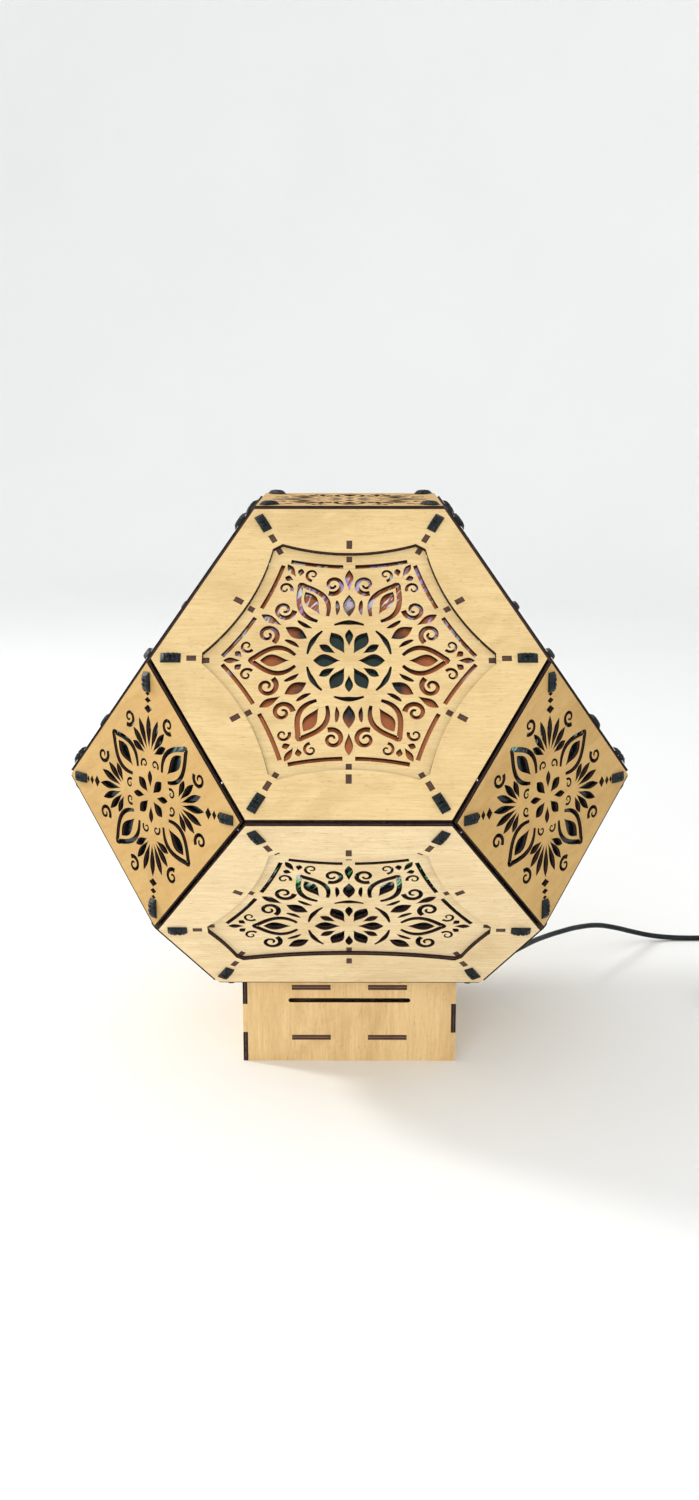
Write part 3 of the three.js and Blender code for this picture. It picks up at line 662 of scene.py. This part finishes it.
def bracket(place):
    """A plywood spacer with one tab up through the panel and one through the fretwork."""
    x, y, angle = place
    outer, inner = TAB_LENGTH / 2, INNER_TAB / 2
    under_panel, under_fretwork = -PLY - 0.1, -2 * PLY - 0.1
    far, near = -INNER_TAB_BACK - inner, -INNER_TAB_BACK + inner
    step, ease = near + 0.9, 1.5
    profile = [
        (-BRACKET_INWARD, -BRACKET_DEPTH + ease), (-BRACKET_INWARD + ease, -BRACKET_DEPTH),
        (outer, -BRACKET_DEPTH), (outer, 0), (-outer, 0), (-outer, under_panel),
        (step, under_panel), (step, under_fretwork), (near, under_fretwork), (near, -PLY),
        (far, -PLY), (far, under_fretwork), (-BRACKET_INWARD, under_fretwork),
    ]
    part = pierced_plate(profile, [], top=PLY / 2)
    upright = spin(angle, "Z") @ spin(QUARTER, "X")
    return placed(part, Matrix.Translation((x, y, 0)) @ upright)


# ---- fretwork ornament ----
# Leaves, spirals, palmettes and rosettes worked out by formula, drawn along +X from the middle outward.

RIM_CORNER, RIM_SAG = 79.7, 4.7
RIM_HALF = RIM_CORNER / 2
BAND = 3.2                # width of a line cut


def rim(distance, inset):
    """A point on the fretwork's hollow-sided rim, by its way from the corner on +X and its inset."""
    sag = RIM_SAG * (1 - (1 - distance / RIM_HALF) ** 2)
    straight = Vector((RIM_CORNER, 0)) + polar(distance, pi - SIXTH)
    return straight - polar(sag + inset, SIXTH / 2)


def rim_slit(start, end):
    points = [rim(start + (end - start) * i / 8, 1.4) for i in range(9)]
    return stroke([(p.x, p.y, 2.6) for p in points], 2)


def leaf(start, end, width, fullest=0.6):
    """A solid leaf with pointed ends, fullest part of the way along."""
    power, steps = log(0.5) / log(fullest), 14
    side = []
    for i in range(steps + 1):
        t = i / steps
        side.append(Vector((start + (end - start) * t, -width / 2 * sin(pi * t ** power))))
    return side + mirrored(side)[1:-1]


def leaf_line(start, end, half, fullest=0.45):
    """A leaf's outline as a line cut, left open at its root to hold what is inside it."""
    power, steps, root = log(0.5) / log(fullest), 10, 0.1
    points = []
    for i in range(steps + 1):
        t = root + (1 - root) * i / steps
        taper = BAND * (0.45 + 0.55 * sin(pi * min(2 * t, 1) / 2))
        points.append((start + (end - start) * t, half * sin(pi * t ** power), taper))
    points[-1] = (end, 0, BAND)
    return stroke(both_sides(points), 3)


def spiral(x, y, radius, start, turns, width):
    """A scroll that winds inward at an even rate and ends in a fine point."""
    points = []
    for i in range(19):
        t = i / 18
        spot = polar(radius * (1 - 0.82 * t), start + 2 * pi * turns * t)
        points.append((x + spot.x, y + spot.y, width * (1 - 0.6 * t)))
    return stroke(points, 2)


def palmette(hub, root, middle, outermost, spread, count, width):
    """Leaves that spread evenly from a hub, the middle one longest."""
    leaves = []
    for i in range(count):
        share = 2 * i / (count - 1) - 1
        length = middle + (outermost - middle) * share * share
        leaves.append(turned(leaf(root, root + length, width), spread * share, hub))
    return leaves


def lozenge(x, half_along, half_across):
    loop = ((x - half_along, 0), (x, -half_across), (x + half_along, 0), (x, half_across))
    return [Vector(p) for p in loop]


def paired(loops):
    return loops + [mirrored(loop) for loop in loops]


def corner_motif():
    """An outlined leaf with a leaf inside, scrolls beside its tip, and a sprig in the corner."""
    beside = [spiral(60.8, 9.5, 4.2, -2.5, 1.1, 2.0), rim_slit(4.5, 36.2)]
    sprig = palmette(61.0, 3.6, 10.2, 5.4, 0.7, 3, 3.9)
    leaves = [leaf_line(29.0, 58.6, 8.4), leaf(35.5, 53, 8.0), leaf(5.2, 21.4, 8.4)]
    return [*leaves, *sprig, *paired(beside)]


def side_motif():
    """A pair of scrolls with leaves on the axis between them, over an arc round the rosette."""
    ring = [(*polar(25.2, angle * 0.36), 3.2 - 2.0 * abs(angle)) for angle in (-1, -0.5, 0, 0.5, 1)]
    curved_leaf = stroke([(30.2, 7.4, 0.5), (34.0, 6.9, 2.6), (38.4, 7.2, 2.0), (40.0, 7.6, 0.5)], 4)
    beside = [spiral(50.6, 9.7, 6.3, 2.7, 1.3, 3.3), curved_leaf]
    leaves = [leaf(9.4, 20.6, 4.8), leaf(29.0, 44, 7.4, 0.5), leaf(46.6, 61, 5.0)]
    return [leaves[0], stroke(ring, 4), *leaves[1:], *paired(beside)]


LOWEST_CUT = -25.4        # how far down a lower hexagon's ornament may reach


def hexagon_ornament(is_lower):
    loops = []
    for k in range(6):
        corner, side = k * SIXTH, (k + 0.5) * SIXTH
        loops += [turned(loop, corner) for loop in corner_motif()]
        loops += [turned(loop, side) for loop in side_motif()]
    if is_lower:
        loops = [loop for loop in loops if min(p.y for p in loop) > LOWEST_CUT]
    return loops


def fretwork(is_lower):
    holes = hexagon_ornament(is_lower)
    for place in bracket_places(is_lower):
        holes.append(rectangle(inner_tab(place), INNER_TAB + 2 * SLIP, PLY + 2 * SLIP))
    return pierced_plate(opening_outline(is_lower, FRETWORK_MARGIN), holes, top=-PLY)


FILM_GAP, FILM_THICKNESS = 0.2, 0.25
FILM_MARGIN = 2.2


def hexagon_film(is_lower):
    notches = [rectangle(place, 2 * BRACKET_INWARD + 1, PLY + 1) for place in bracket_places(is_lower)]
    outline = opening_outline(is_lower, FILM_MARGIN)
    return pierced_plate(outline, notches, top=-2 * PLY - FILM_GAP, thickness=FILM_THICKNESS)


def build_hexagons(level, wood, tone):
    is_lower = level == "lower"
    panel = mesh_of(f"panel_{level}", *hexagon_panel(is_lower))
    fret = mesh_of(f"fret_{level}", *fretwork(is_lower))
    brackets = [bracket(place) for place in bracket_places(is_lower)]
    spacers = mesh_of(f"spacers_{level}", *joined(*brackets))
    backing = mesh_of(f"backing_{level}", *hexagon_film(is_lower))
    for i, side in enumerate(SIDES):
        outward = horizontal(-90 + 90 * i) * cos(HEXAGON_TILT)
        outward.z = (-1 if is_lower else 1) * sin(HEXAGON_TILT)
        place = face_frame(outward, horizontal(90 * i), HEXAGON_REACH)
        for part, mesh, finish, slot, node in (
            ("panel", panel, (wood, EDGE_BURN), "hexagon_ply", f"hexagon_panel_{level}_{side}"),
            ("fret", fret, (wood, EDGE_BURN), "hexagon_ply", f"fretwork_{level}_{side}"),
            ("spacers", spacers, (EDGE_BURN, TAB_BURN), "hexagon_ply", None),
            ("film", backing, (tone, tone), "iridescent_film", None),
        ):
            add_object(f"{part}_{level}_{side}", mesh.copy(), place, finish, slot, node)


build_hexagons("upper", HEXAGON_WOOD, UPPER_FILM)
build_hexagons("lower", LOWER_WOOD, LOWER_FILM)


# ---- squares ----

def square_edges(half):
    return [(QUARTER / 2 + k * QUARTER, half) for k in range(4)]


def square_corner_motif():
    """A palmette over a pair of small scrolls, and three lozenges towards the corner."""
    lozenges = [lozenge(54.2, 2.7, 3.8), lozenge(59.6, 1.9, 3.0), lozenge(63.5, 1.3, 2.2)]
    fan = palmette(24.6, 5.0, 21.0, 12.8, radians(63), 7, 4.7)
    beside = [spiral(46.5, 18.8, 5.2, 2.6, 1.2, 2.8), spiral(20.0, 5.0, 3.3, 2.2, -1.05, 1.7)]
    return [*fan, *lozenges, leaf(5.8, 16.5, 4.2), *paired(beside)]


def square_side_motif():
    return [leaf_line(17, 49.5, 9.0), leaf(23.5, 43, 8.6), leaf(3.6, 15.4, 6.4)]


def square_panel():
    holes = leg_slots(square_edges(EDGE / 2))
    for k in range(4):
        holes += [turned(loop, k * QUARTER) for loop in square_corner_motif()]
        holes += [turned(loop, (k + 0.5) * QUARTER) for loop in square_side_motif()]
    return pierced_plate(corners_of(square_edges(EDGE / 2 - SQUARE_BACK)), holes)


def square_film():
    outline = [polar(67.2, k * QUARTER + angle) for k in range(4) for angle in (-0.17, 0.17)]
    return pierced_plate(outline, [], top=-PLY - FILM_GAP, thickness=FILM_THICKNESS)


def bottom_plate():
    holes = [*leg_slots(square_edges(BASE_HALF)), disc(0, 0, 5, 32)]
    return pierced_plate(corners_of(square_edges(BASE_HALF - SQUARE_BACK)), holes)


FOOT = face_frame(Vector((0, 0, -1)), horizontal(45), BASE_REACH)


def square_places():
    places = {
        name: face_frame(horizontal(-45 + 90 * i), horizontal(45 + 90 * i), SQUARE_REACH)
        for i, name in enumerate(SQUARES)
    }
    places["top"] = face_frame(Vector((0, 0, 1)), horizontal(45), SQUARE_REACH)
    return places


def build_squares():
    panel = mesh_of("square", *square_panel())
    backing = mesh_of("square_backing", *square_film())
    for name, place in square_places().items():
        finish = (SQUARE_WOOD, EDGE_BURN)
        add_object(f"square_{name}", panel.copy(), place, finish, "square_ply", f"square_fretwork_{name}")
        tone = TOP_FILM if name == "top" else SQUARE_FILM
        add_object(f"film_{name}", backing.copy(), place, (tone, tone), "iridescent_film")
    add_part("foot_plate", bottom_plate(), FOOT, (HEXAGON_WOOD, EDGE_BURN), "hexagon_ply", "bottom_plate")


build_squares()


# ---- corner connectors ----

HEAD_LENGTH, HEAD_WIDTH, HEAD_HEIGHT = 12, 6, 2.5
HEAD_LIFT = 0.3
HUB_BACK, HUB_RADIUS = 20, 8.6
LEAN = 1 / sqrt(3)
CORNER_FACES = (
    (Vector((0, 0, 1)), Vector((1, 0, 0)), 18),
    (Vector((-LEAN, LEAN, LEAN)), Vector((0, sqrt(0.5), -sqrt(0.5))), 13),
    (Vector((-LEAN, -LEAN, LEAN)), Vector((0, -sqrt(0.5), -sqrt(0.5))), 13),
)


def eased(value):
    value = min(max(value, 0), 1)
    return value * value * (3 - 2 * value)


def connector_head():
    """A low head with sloped ends, two grooves across it and a slit along its crest."""
    columns = sorted({0, 0.15, 0.4, *[0.4 + 0.4 * i for i in range(1, 28)], 11.6, 11.85, HEAD_LENGTH})
    half_rows = [0, 0.12, 0.35, 0.7, 1.3, 2.0, HEAD_WIDTH / 2 - 0.4, HEAD_WIDTH / 2 - 0.3]
    rows = half_rows + [HEAD_WIDTH / 2] + [HEAD_WIDTH - y for y in reversed(half_rows)]
    def height(x, y):
        end = min(x, HEAD_LENGTH - x)
        side = min(y, HEAD_WIDTH - y)
        crest = 0.75 + (HEAD_HEIGHT - 0.75) * eased(end / 3.0)
        crest *= 0.86 + 0.14 * sin(pi * y / HEAD_WIDTH)
        for groove in (3.0, HEAD_LENGTH / 2, HEAD_LENGTH - 3.0):
            crest -= 0.75 * eased(1 - abs(x - groove) / 0.75)
        if abs(y - HEAD_WIDTH / 2) < 0.35 and 3.6 < x < HEAD_LENGTH - 3.6:
            crest -= 0.7
        return crest * sqrt(1 - (1 - min(side / 0.7, 1)) ** 2) * (0.55 + 0.45 * eased(end / 0.5))
    points, faces = [], []
    for x in columns:
        for y in rows:
            lift = HEAD_LIFT + max(height(x, y), 0.12)
            points.append((x - HEAD_LENGTH / 2, y - HEAD_WIDTH / 2, lift))
    count, across = len(points), len(rows)
    points += [(x, y, HEAD_LIFT) for x, y, _ in points]
    for a in range(count - across):
        b = a + across
        if b % across < across - 1:
            faces.append([a, b, b + 1, a + 1])
            faces.append([count + a, count + a + 1, count + b + 1, count + b])
    border = list(range(across))
    border += range(2 * across - 1, count, across)
    border += range(count - 2, count - across - 1, -1)
    border += range(count - 2 * across, 0, -across)
    for a, b in zip(border, border[1:] + border[:1]):
        faces.append([a, b, count + b, count + a])
    return points, faces, [0] * len(faces)


def barbed_leg(reach):
    """The split leg below a head, with a snap barb on each prong just behind the panel."""
    prongs = []
    for side in (-1, 1):
        profile = [
            (0.5, HEAD_LIFT + 0.6), (3.5, HEAD_LIFT + 0.6), (3.5, -PLY - 0.3), (4.2, -PLY - 0.5),
            (3.5, -PLY - 3.2), (3.3, -reach * 0.8), (0.5, -reach * 0.8),
        ]
        part = pierced_plate(profile[::-1], [], top=LEG_WIDTH / 2, thickness=LEG_WIDTH)
        upright = spin(0 if side > 0 else pi, "Z") @ spin(QUARTER, "X")
        prongs.append(placed(part, upright))
    root = block((-3.5, -LEG_WIDTH / 2, -reach - 2), (3.5, LEG_WIDTH / 2, -reach * 0.72))
    return joined(*prongs, root)


def hub():
    profile = [(0, -HUB_RADIUS)]
    for i in range(1, 12):
        angle = -QUARTER + pi * i / 12
        profile.append((HUB_RADIUS * cos(angle) ** 0.8, HUB_RADIUS * sin(angle)))
    profile.append((0, HUB_RADIUS))
    out_of_corner = Vector((-1, 0, 2)).normalized()
    lean = Vector((0, 0, 1)).rotation_difference(out_of_corner).to_matrix().to_4x4()
    return placed(lathe(profile, 24), Matrix.Translation(out_of_corner * -HUB_BACK) @ lean)


def connector():
    parts = [hub()]
    for outward, inward, reach in CORNER_FACES:
        place = axes_at(inward, outward, inward * HEAD_INSET)
        parts += [placed(connector_head(), place), placed(barbed_leg(reach), place)]
    return joined(*parts)


def build_connectors():
    mesh = mesh_of("connector", *connector(), sharp=50)
    places = square_places()
    crown = places.pop("top")
    rows = [(face, place, ("right", "top", "left", "bottom"), UNIT) for face, place in places.items()]
    rows.append(("crown", crown, ("back_right", "back_left", "front_left", "front_right"), UNIT))
    foot_corners = ("back_right", "front_right", "front_left", "back_left")
    rows.append(("foot", FOOT, foot_corners, BASE_HALF * sqrt(2)))
    for face, place, corners, from_middle in rows:
        for k, corner in enumerate(corners):
            spot = polar(from_middle * MM, k * QUARTER).to_3d()
            matrix = place @ Matrix.Translation(spot) @ spin(k * QUARTER + pi, "Z")
            node = f"connector_{face}_{corner}"
            add_object(f"snap_{face}_{corner}", mesh.copy(), matrix, (NYLON,), "black_nylon", node)


build_connectors()


# ---- plinth ----

VENT_LENGTH, VENT_Z = 80, 42.5
DECK_TAB_LENGTH, DECK_TAB_AT = 25, 25
GLAND_AT = Vector((PLINTH_HALF, 40, 30))
INSIDE_HALF = PLINTH_HALF - PLY - JOINT_GAP


def wall_outline():
    inner, outer, gap = INSIDE_HALF, PLINTH_HALF, JOINT_GAP
    low, high = FINGER, 2 * FINGER
    return [
        (-inner, 0), (outer, 0), (outer, low - gap), (inner, low - gap), (inner, high + gap),
        (outer, high + gap), (outer, PLINTH_HEIGHT), (-inner, PLINTH_HEIGHT), (-inner, high - gap),
        (-outer, high - gap), (-outer, low + gap), (-inner, low + gap),
    ]


def wall(side):
    holes = []
    for y in DECK_MIDDLES:
        for x in (-DECK_TAB_AT, DECK_TAB_AT):
            holes.append(rectangle((x, y, 0), DECK_TAB_LENGTH + 2 * SLIP, PLY + 2 * SLIP))
    bend = (VENT_LENGTH - PLY) / 2
    vent = arc((bend, VENT_Z), PLY / 2, -QUARTER, QUARTER, 8)
    vent += arc((-bend, VENT_Z), PLY / 2, QUARTER, 3 * QUARTER, 8)
    holes.append(vent)
    if side == "right":
        holes.append(disc(GLAND_AT.y, GLAND_AT.z, 3.8, 24))
    return pierced_plate(wall_outline(), holes)


def deck():
    inner, half = INSIDE_HALF, DECK_TAB_LENGTH / 2
    side = []
    for y in (-DECK_TAB_AT, DECK_TAB_AT):
        low, high = y - half, y + half
        side += [(inner, low), (PLINTH_HALF, low), (PLINTH_HALF, high), (inner, high)]
    side.append((inner, inner))
    outline = [p for k in range(4) for p in turned(side, k * QUARTER)]
    return pierced_plate(outline, [disc(0, 0, 5, 32)])


def build_plinth():
    for i, side in enumerate(SIDES):
        place = face_frame(horizontal(-90 + 90 * i), horizontal(90 * i), PLINTH_HALF, Vector((0, 0, 0)))
        finish = (PLINTH_WOOD, EDGE_BURN)
        add_part(f"wall_{side}", wall(side), place, finish, "plinth_ply", f"plinth_{side}")
    for node, z in zip(("lower_deck", "upper_deck"), DECK_MIDDLES):
        place = Matrix.Translation((0, 0, (z + PLY / 2) * MM))
        add_part(node, deck(), place, (PLINTH_WOOD, TAB_BURN), "plinth_ply", f"plinth_{node}")


build_plinth()


# ---- lamp holder and bulb ----

PLATE_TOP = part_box("bottom_plate")[1].z / MM
CORD_DIAMETER = 4


def build_holder():
    ribs = []
    for i in range(9):
        z = 9 + 3.4 * i
        ribs += [(20, z), (20, z + 1.6), (19.3, z + 2.0), (19.3, z + 3.0)]
    profile = [
        (0, 0), (26.4, 0), (27, 0.6), (27, 2.2), (26.2, 3), (20.6, 3.4), (20, 4.6), *ribs,
        (20, 41.6), (20, 45.2), (19.2, 46), (14.7, 46), (13.9, 45.2), (13.9, 20), (0, 20),
    ]
    place = Matrix.Translation((0, 0, (PLATE_TOP + 0.3) * MM))
    add_part("holder", lathe(profile, 64), place, (WHITE,), "white_plastic", "lamp_holder")


def build_bulb():
    thread = [(13.2 if i % 2 == 0 else 12, 6 + 1.4 * i) for i in range(14)]
    lowest, radius, height, steps = -52, 30, 78, 24
    globe = []
    for i in range(steps):
        angle = radians(lowest + (90 - lowest) * i / steps)
        globe.append((radius * cos(angle), height + radius * sin(angle)))
    globe.append((0, height + radius))
    shoulder = [(13.0, 27.5), (13.6, 34), (14.8, 42), (16.6, 49)]
    profile = [(0, 0), (5, 0), (6.4, 1.6), (9.2, 3.0), (12, 4.6), *thread, (13.2, 26), *shoulder, *globe]
    points, faces, _ = lathe(profile, 64)
    cap_top = 26.5
    finishes = [int(max(points[i][2] for i in face) < cap_top) for face in faces]
    place = Matrix.Translation((0, 0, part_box("bulb")[0].z))
    add_part("bulb_globe", (points, faces, finishes), place, (GLASS, BRASS), "frosted_glass", "bulb")


def tube_curve(name, points, diameter):
    curve = bpy.data.curves.new(name, "CURVE")
    curve.dimensions = "3D"
    curve.bevel_depth = diameter / 2 * MM
    curve.bevel_resolution = 5
    curve.resolution_u = 6
    curve.use_fill_caps = True
    line = curve.splines.new("BEZIER")
    line.bezier_points.add(len(points) - 1)
    for knot, point in zip(line.bezier_points, points):
        knot.co = Vector(point) * MM
        knot.handle_left_type = "AUTO"
        knot.handle_right_type = "AUTO"
    made = link(bpy.data.objects.new(name, curve))
    curve.materials.append(PVC)
    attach(made, "root")
    return made


def build_inner_lead():
    points = [
        (0, 0, PLATE_TOP + 6), (0, 0, 50), (4, 2, 40), (18, 16, 32), (38, 36, GLAND_AT.z),
        (60, GLAND_AT.y, GLAND_AT.z),
    ]
    tube_curve("inner_lead", points, CORD_DIAMETER)


build_holder()
build_bulb()
build_inner_lead()


# ---- cord, gland, switch and plug ----

CORD_Z = 2.1
SWITCH_AT = Vector((322, 97, 0))
SWITCH_LENGTH, SWITCH_WIDTH, SWITCH_HEIGHT = 58, 26, 18
SWITCH_CORD_Z = 7.5
POCKET_DEPTH = 5.6
ROCKER_Z = 17
COIL_AT = Vector((294, 38, 0))
PLUG_AT = Vector((322, -4, 7))


def cord_route():
    points = [
        (94.9, 40, 30), (102, 41.6, 30), (110, 47, 29.8), (119, 57, 29.5), (128, 69.5, 29),
        (138, 84, 28.2), (149, 98, 27), (162, 112, 25.8), (178, 127.5, 24), (196, 142.5, 20.2),
        (211, 151.5, 15), (226, 158.5, 9.2), (240, 162.3, 5), (254, 163.9, 2.8), (270, 164, CORD_Z),
        (286, 164, CORD_Z), (298, 161.8, CORD_Z), (308.5, 155.5, CORD_Z + 0.3),
        (316.5, 146.5, CORD_Z + 1.8), (321, 137.5, CORD_Z + 4),
    ]
    through_switch = [(y, SWITCH_CORD_Z) for y in (118, 97, 76)]
    line = [(130, SWITCH_CORD_Z - 0.2), *through_switch, (68, SWITCH_CORD_Z - 0.1), (61, 6), (54.5, 3.3)]
    points += [(SWITCH_AT.x, y, z) for y, z in (*line, (47, CORD_Z))]
    turns = [(28, 0), (24, 0), (20, 0), (20, 1), (20, 2), (24, 2), (24, 1), (28, 1), (28, 2)]
    per_turn = 16
    for i, (radius, layer) in enumerate(turns):
        next_radius, next_layer = turns[min(i + 1, len(turns) - 1)]
        for j in range(per_turn):
            shift = eased((j / per_turn - 0.72) / 0.28)
            z = CORD_Z + CORD_DIAMETER * (layer + (next_layer - layer) * shift)
            spot = polar(radius + (next_radius - radius) * shift, -2 * pi * j / per_turn)
            points.append((COIL_AT.x + spot.x, COIL_AT.y + spot.y, z))
    top = CORD_Z + 2 * CORD_DIAMETER
    line = [(38, top), (30, top), (26, top - 0.4), (22, top - 1.5), (18, top - 2.7), (13, 7)]
    return points + [(PLUG_AT.x, y, z) for y, z in line]


def build_cord(pieces_on_it):
    cord = tube_curve("mains_lead", cord_route(), CORD_DIAMETER)
    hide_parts("mains_cord", "cord_coil")


def build_gland():
    rings = []
    for i in range(8):
        x = 5.4 + 2.2 * i
        radius = 4 - 0.9 * (x - 4) / 20
        rings += [(radius, x), (radius, x + 1.3), (radius - 0.45, x + 1.5), (radius - 0.45, x + 2.0)]
    profile = [
        (0, -8), (3.2, -8), (3.4, -7.6), (3.4, -0.3), (5.9, 0), (6.2, 0.4), (6.2, 2.1), (5.7, 2.6),
        (4.3, 3.1), (4, 4), *rings, (3.1, 23.4), (2.7, 24), (0, 24),
    ]
    place = Matrix.Translation((GLAND_AT + Vector((0.3, 0, 0))) * MM) @ spin(QUARTER, "Y")
    return add_part("strain_relief", lathe(profile, 40), place, (NYLON,), "black_nylon", "cord_gland")


def squircle(half_x, half_y, power, first=0.0):
    """Points round an oval that a higher power makes squarer."""
    loop = []
    for i in range(48):
        angle = 2 * pi * (i + first) / 48
        x, y = cos(angle), sin(angle)
        size = (abs(x) ** power + abs(y) ** power) ** (-1 / power)
        loop.append((x * size * half_x, y * size * half_y))
    return loop


def rounded(half_x, half_y, radius):
    loop = []
    for k, (x, y) in enumerate(((1, 1), (-1, 1), (-1, -1), (1, -1))):
        centre = (x * (half_x - radius), y * (half_y - radius))
        loop += arc(centre, radius, k * QUARTER, (k + 1) * QUARTER, 6)
    return loop


def welded(mesh):
    work = bmesh.new()
    work.from_mesh(mesh)
    bmesh.ops.remove_doubles(work, verts=work.verts, dist=0.00001)
    loose = [v for v in work.verts if not v.link_faces]
    bmesh.ops.delete(work, geom=loose, context="VERTS")
    bmesh.ops.recalc_face_normals(work, faces=work.faces)
    work.to_mesh(mesh)
    work.free()
    mesh.set_sharp_from_angle(angle=radians(35))
    return mesh


def build_switch():
    """The case with its seam, open at the top over the rocker's pocket."""
    levels = [
        (1.6, 0), (0.5, 0.4), (0, 1.5), (0, 8.6), (0.35, 8.8), (0.35, 9.2), (0, 9.4), (0, 15.6),
        (0.5, 17.2), (1.8, SWITCH_HEIGHT),
    ]
    sections = []
    for inset, z in levels:
        loop = squircle(SWITCH_WIDTH / 2 - inset, SWITCH_LENGTH / 2 - inset, 3.2, first=0.5)
        sections.append([(x, y, z) for x, y in loop])
    sides, side_faces, _ = loft(sections)
    side_faces.pop()
    pocket_x, pocket_y = 5.9, 10.9
    pocket = rounded(pocket_x, pocket_y, 1.2)
    rim = [p[:2] for p in sections[-1]]
    lid, lid_faces, _ = pierced_plate(rim, [pocket], SWITCH_HEIGHT, POCKET_DEPTH)
    kept = []
    for face in lid_faces:
        corners = [lid[i] for i in face]
        is_top = all(z == SWITCH_HEIGHT for _, _, z in corners)
        in_pocket = all(abs(x) < pocket_x + 0.1 and abs(y) < pocket_y + 0.1 for x, y, _ in corners)
        if is_top or (in_pocket and any(z == SWITCH_HEIGHT for _, _, z in corners)):
            kept.append(face)
    floor = [(x, y, SWITCH_HEIGHT - POCKET_DEPTH) for x, y in pocket]
    parts = [(sides, side_faces, []), (lid, kept, []), (floor, [list(range(len(floor)))], [])]
    points, faces, _ = joined(*parts)
    mesh = welded(mesh_of("switch_case", points, faces))
    place = Matrix.Translation(SWITCH_AT * MM)
    return add_object("switch_case", mesh, place, (PVC,), "black_pvc", "switch_body")


def build_rocker():
    """The rocker, tipped as it rests, with finger ridges on both halves."""
    half, width, tilt = 10, 10.4, radians(8)
    rise = half * tan(tilt)
    outline = [(-half, -0.9), (0, -2.8), (half, -0.9), (half, 0.7 + rise)]
    for side in (1, -1):
        ridges = []
        for i in range(5):
            x = 8.6 - 1.5 * i
            surface = 1 + rise * x / half
            for offset, lift in ((0.5, 0), (0.2, 0.25), (-0.2, 0.25), (-0.5, 0)):
                ridges.append((side * (x + offset), surface + lift))
        outline += ridges if side > 0 else ridges[::-1]
    outline.append((-half, 0.7 + rise))
    part = placed(pierced_plate(outline, [], width / 2, width), spin(QUARTER, "Z") @ spin(QUARTER, "X"))
    place = Matrix.Translation((SWITCH_AT + Vector((0, 0, ROCKER_Z))) * MM) @ spin(-tilt, "X")
    return add_part("rocker", part, place, (NYLON,), "black_nylon", "switch_rocker", "switch_rocker")


PIN_LENGTH, PIN_SLEEVE, PIN_AT = 19, 10.4, 9.3
PLUG_BACK = 32
# The plug's ribbed neck as (y, radius), then its grip as (y, half width, half height, squareness).
NECK = (
    (22, 2.5), (21.6, 2.9), (19, 2.95), (18.7, 2.6), (17.4, 2.6), (17.1, 3.05), (14.4, 3.15),
    (14.1, 2.75), (12.8, 2.8), (12.5, 3.25), (9.6, 3.4), (9.3, 3.0), (8.0, 3.0), (7.7, 3.5), (3, 3.9),
)
GRIP = (
    (0, 5.4, 4.3, 2.2), (-3, 8.6, 5.2, 2.6), (-7, 12.4, 6.2, 3), (-12, 15.2, 6.8, 3.6), (-18, 16.6, 7, 4),
    (-27, 17.3, 7, 4.4), (-30.6, 17.5, 7, 4.6), (-31.6, 17.1, 6.6, 4.6), (-PLUG_BACK, 16.2, 5.8, 4.6),
)


def build_plug():
    sections = []
    round_ones = [(y, radius, radius, 2) for y, radius in NECK]
    for y, half_x, half_z, power in (*round_ones, *GRIP):
        sections.append([(x, y, z) for x, z in squircle(half_x, half_z, power)])
    place = Matrix.Translation(PLUG_AT * MM)
    body = add_part("plug_body", loft(sections), place, (PVC,), "black_pvc", "plug")
    profile = [
        (0, 0), (2, 0), (2, PIN_SLEEVE), (1.85, PIN_SLEEVE + 0.2), (1.85, 17.8), (1.2, 18.9),
        (0, PIN_LENGTH),
    ]
    points, faces, _ = lathe(profile, 24)
    finishes = [int(min(points[i][2] for i in face) < PIN_SLEEVE - 0.1) for face in faces]
    pins = []
    for side in (-1, 1):
        turn = Matrix.Translation((side * PIN_AT, -PLUG_BACK, 0)) @ spin(QUARTER, "X")
        pins.append(placed((points, faces, finishes), turn))
    return [body, add_part("plug_pins", joined(*pins), place, (BRASS, PVC))]


build_cord([build_gland(), build_switch(), build_rocker(), *build_plug()])


# ---- floor and light ----

def build_stage():
    """A pale floor that curves up all round into a wall."""
    floor_reach, bend, wall_top = 2300, 900, 3200
    profile = [(floor_reach * i / 8, 0) for i in range(9)]
    profile += arc((floor_reach, bend), bend, -QUARTER, 0, 10)[1:]
    profile.append((floor_reach + bend, wall_top))
    points, faces, finishes = lathe(profile, 96)
    mesh = mesh_of("floor", points, [face[::-1] for face in faces], finishes)
    pale = Surface("pale_floor", Roughness=0.8, Specular_IOR_Level=0.15)
    mottle = pale.noise((3, 3, 3), 3, 0.5)
    pale.colour(pale.mix(mottle, rgb(240, 241, 241), rgb(245, 246, 246)))
    mesh.materials.append(pale.material)
    link(bpy.data.objects.new("floor", mesh))


def area_light(name, place, size, power, tone):
    lamp = bpy.data.lights.new(name, "AREA")
    lamp.shape = "DISK"
    lamp.size = size
    lamp.energy = power
    lamp.color = tone
    made = link(bpy.data.objects.new(name, lamp))
    made.location = place
    made.rotation_euler = (Vector((0, 0, 0.2)) - Vector(place)).to_track_quat("-Z", "Y").to_euler()


def build_light():
    world = bpy.data.worlds.new("studio")
    world.use_nodes = True
    sky = world.node_tree.nodes["Background"]
    sky.inputs["Color"].default_value = (1.0, 1.0, 1.0, 1)
    sky.inputs["Strength"].default_value = 0.95
    bpy.context.scene.world = world
    bpy.context.scene.view_settings.view_transform = "Standard"
    area_light("key", (-1.6, 0.55, 1.1), 0.35, 20, (1, 0.98, 0.95))
    area_light("front", (-0.3, -2.2, 1.0), 2.0, 17, (1, 1, 1))


build_stage()
build_light()
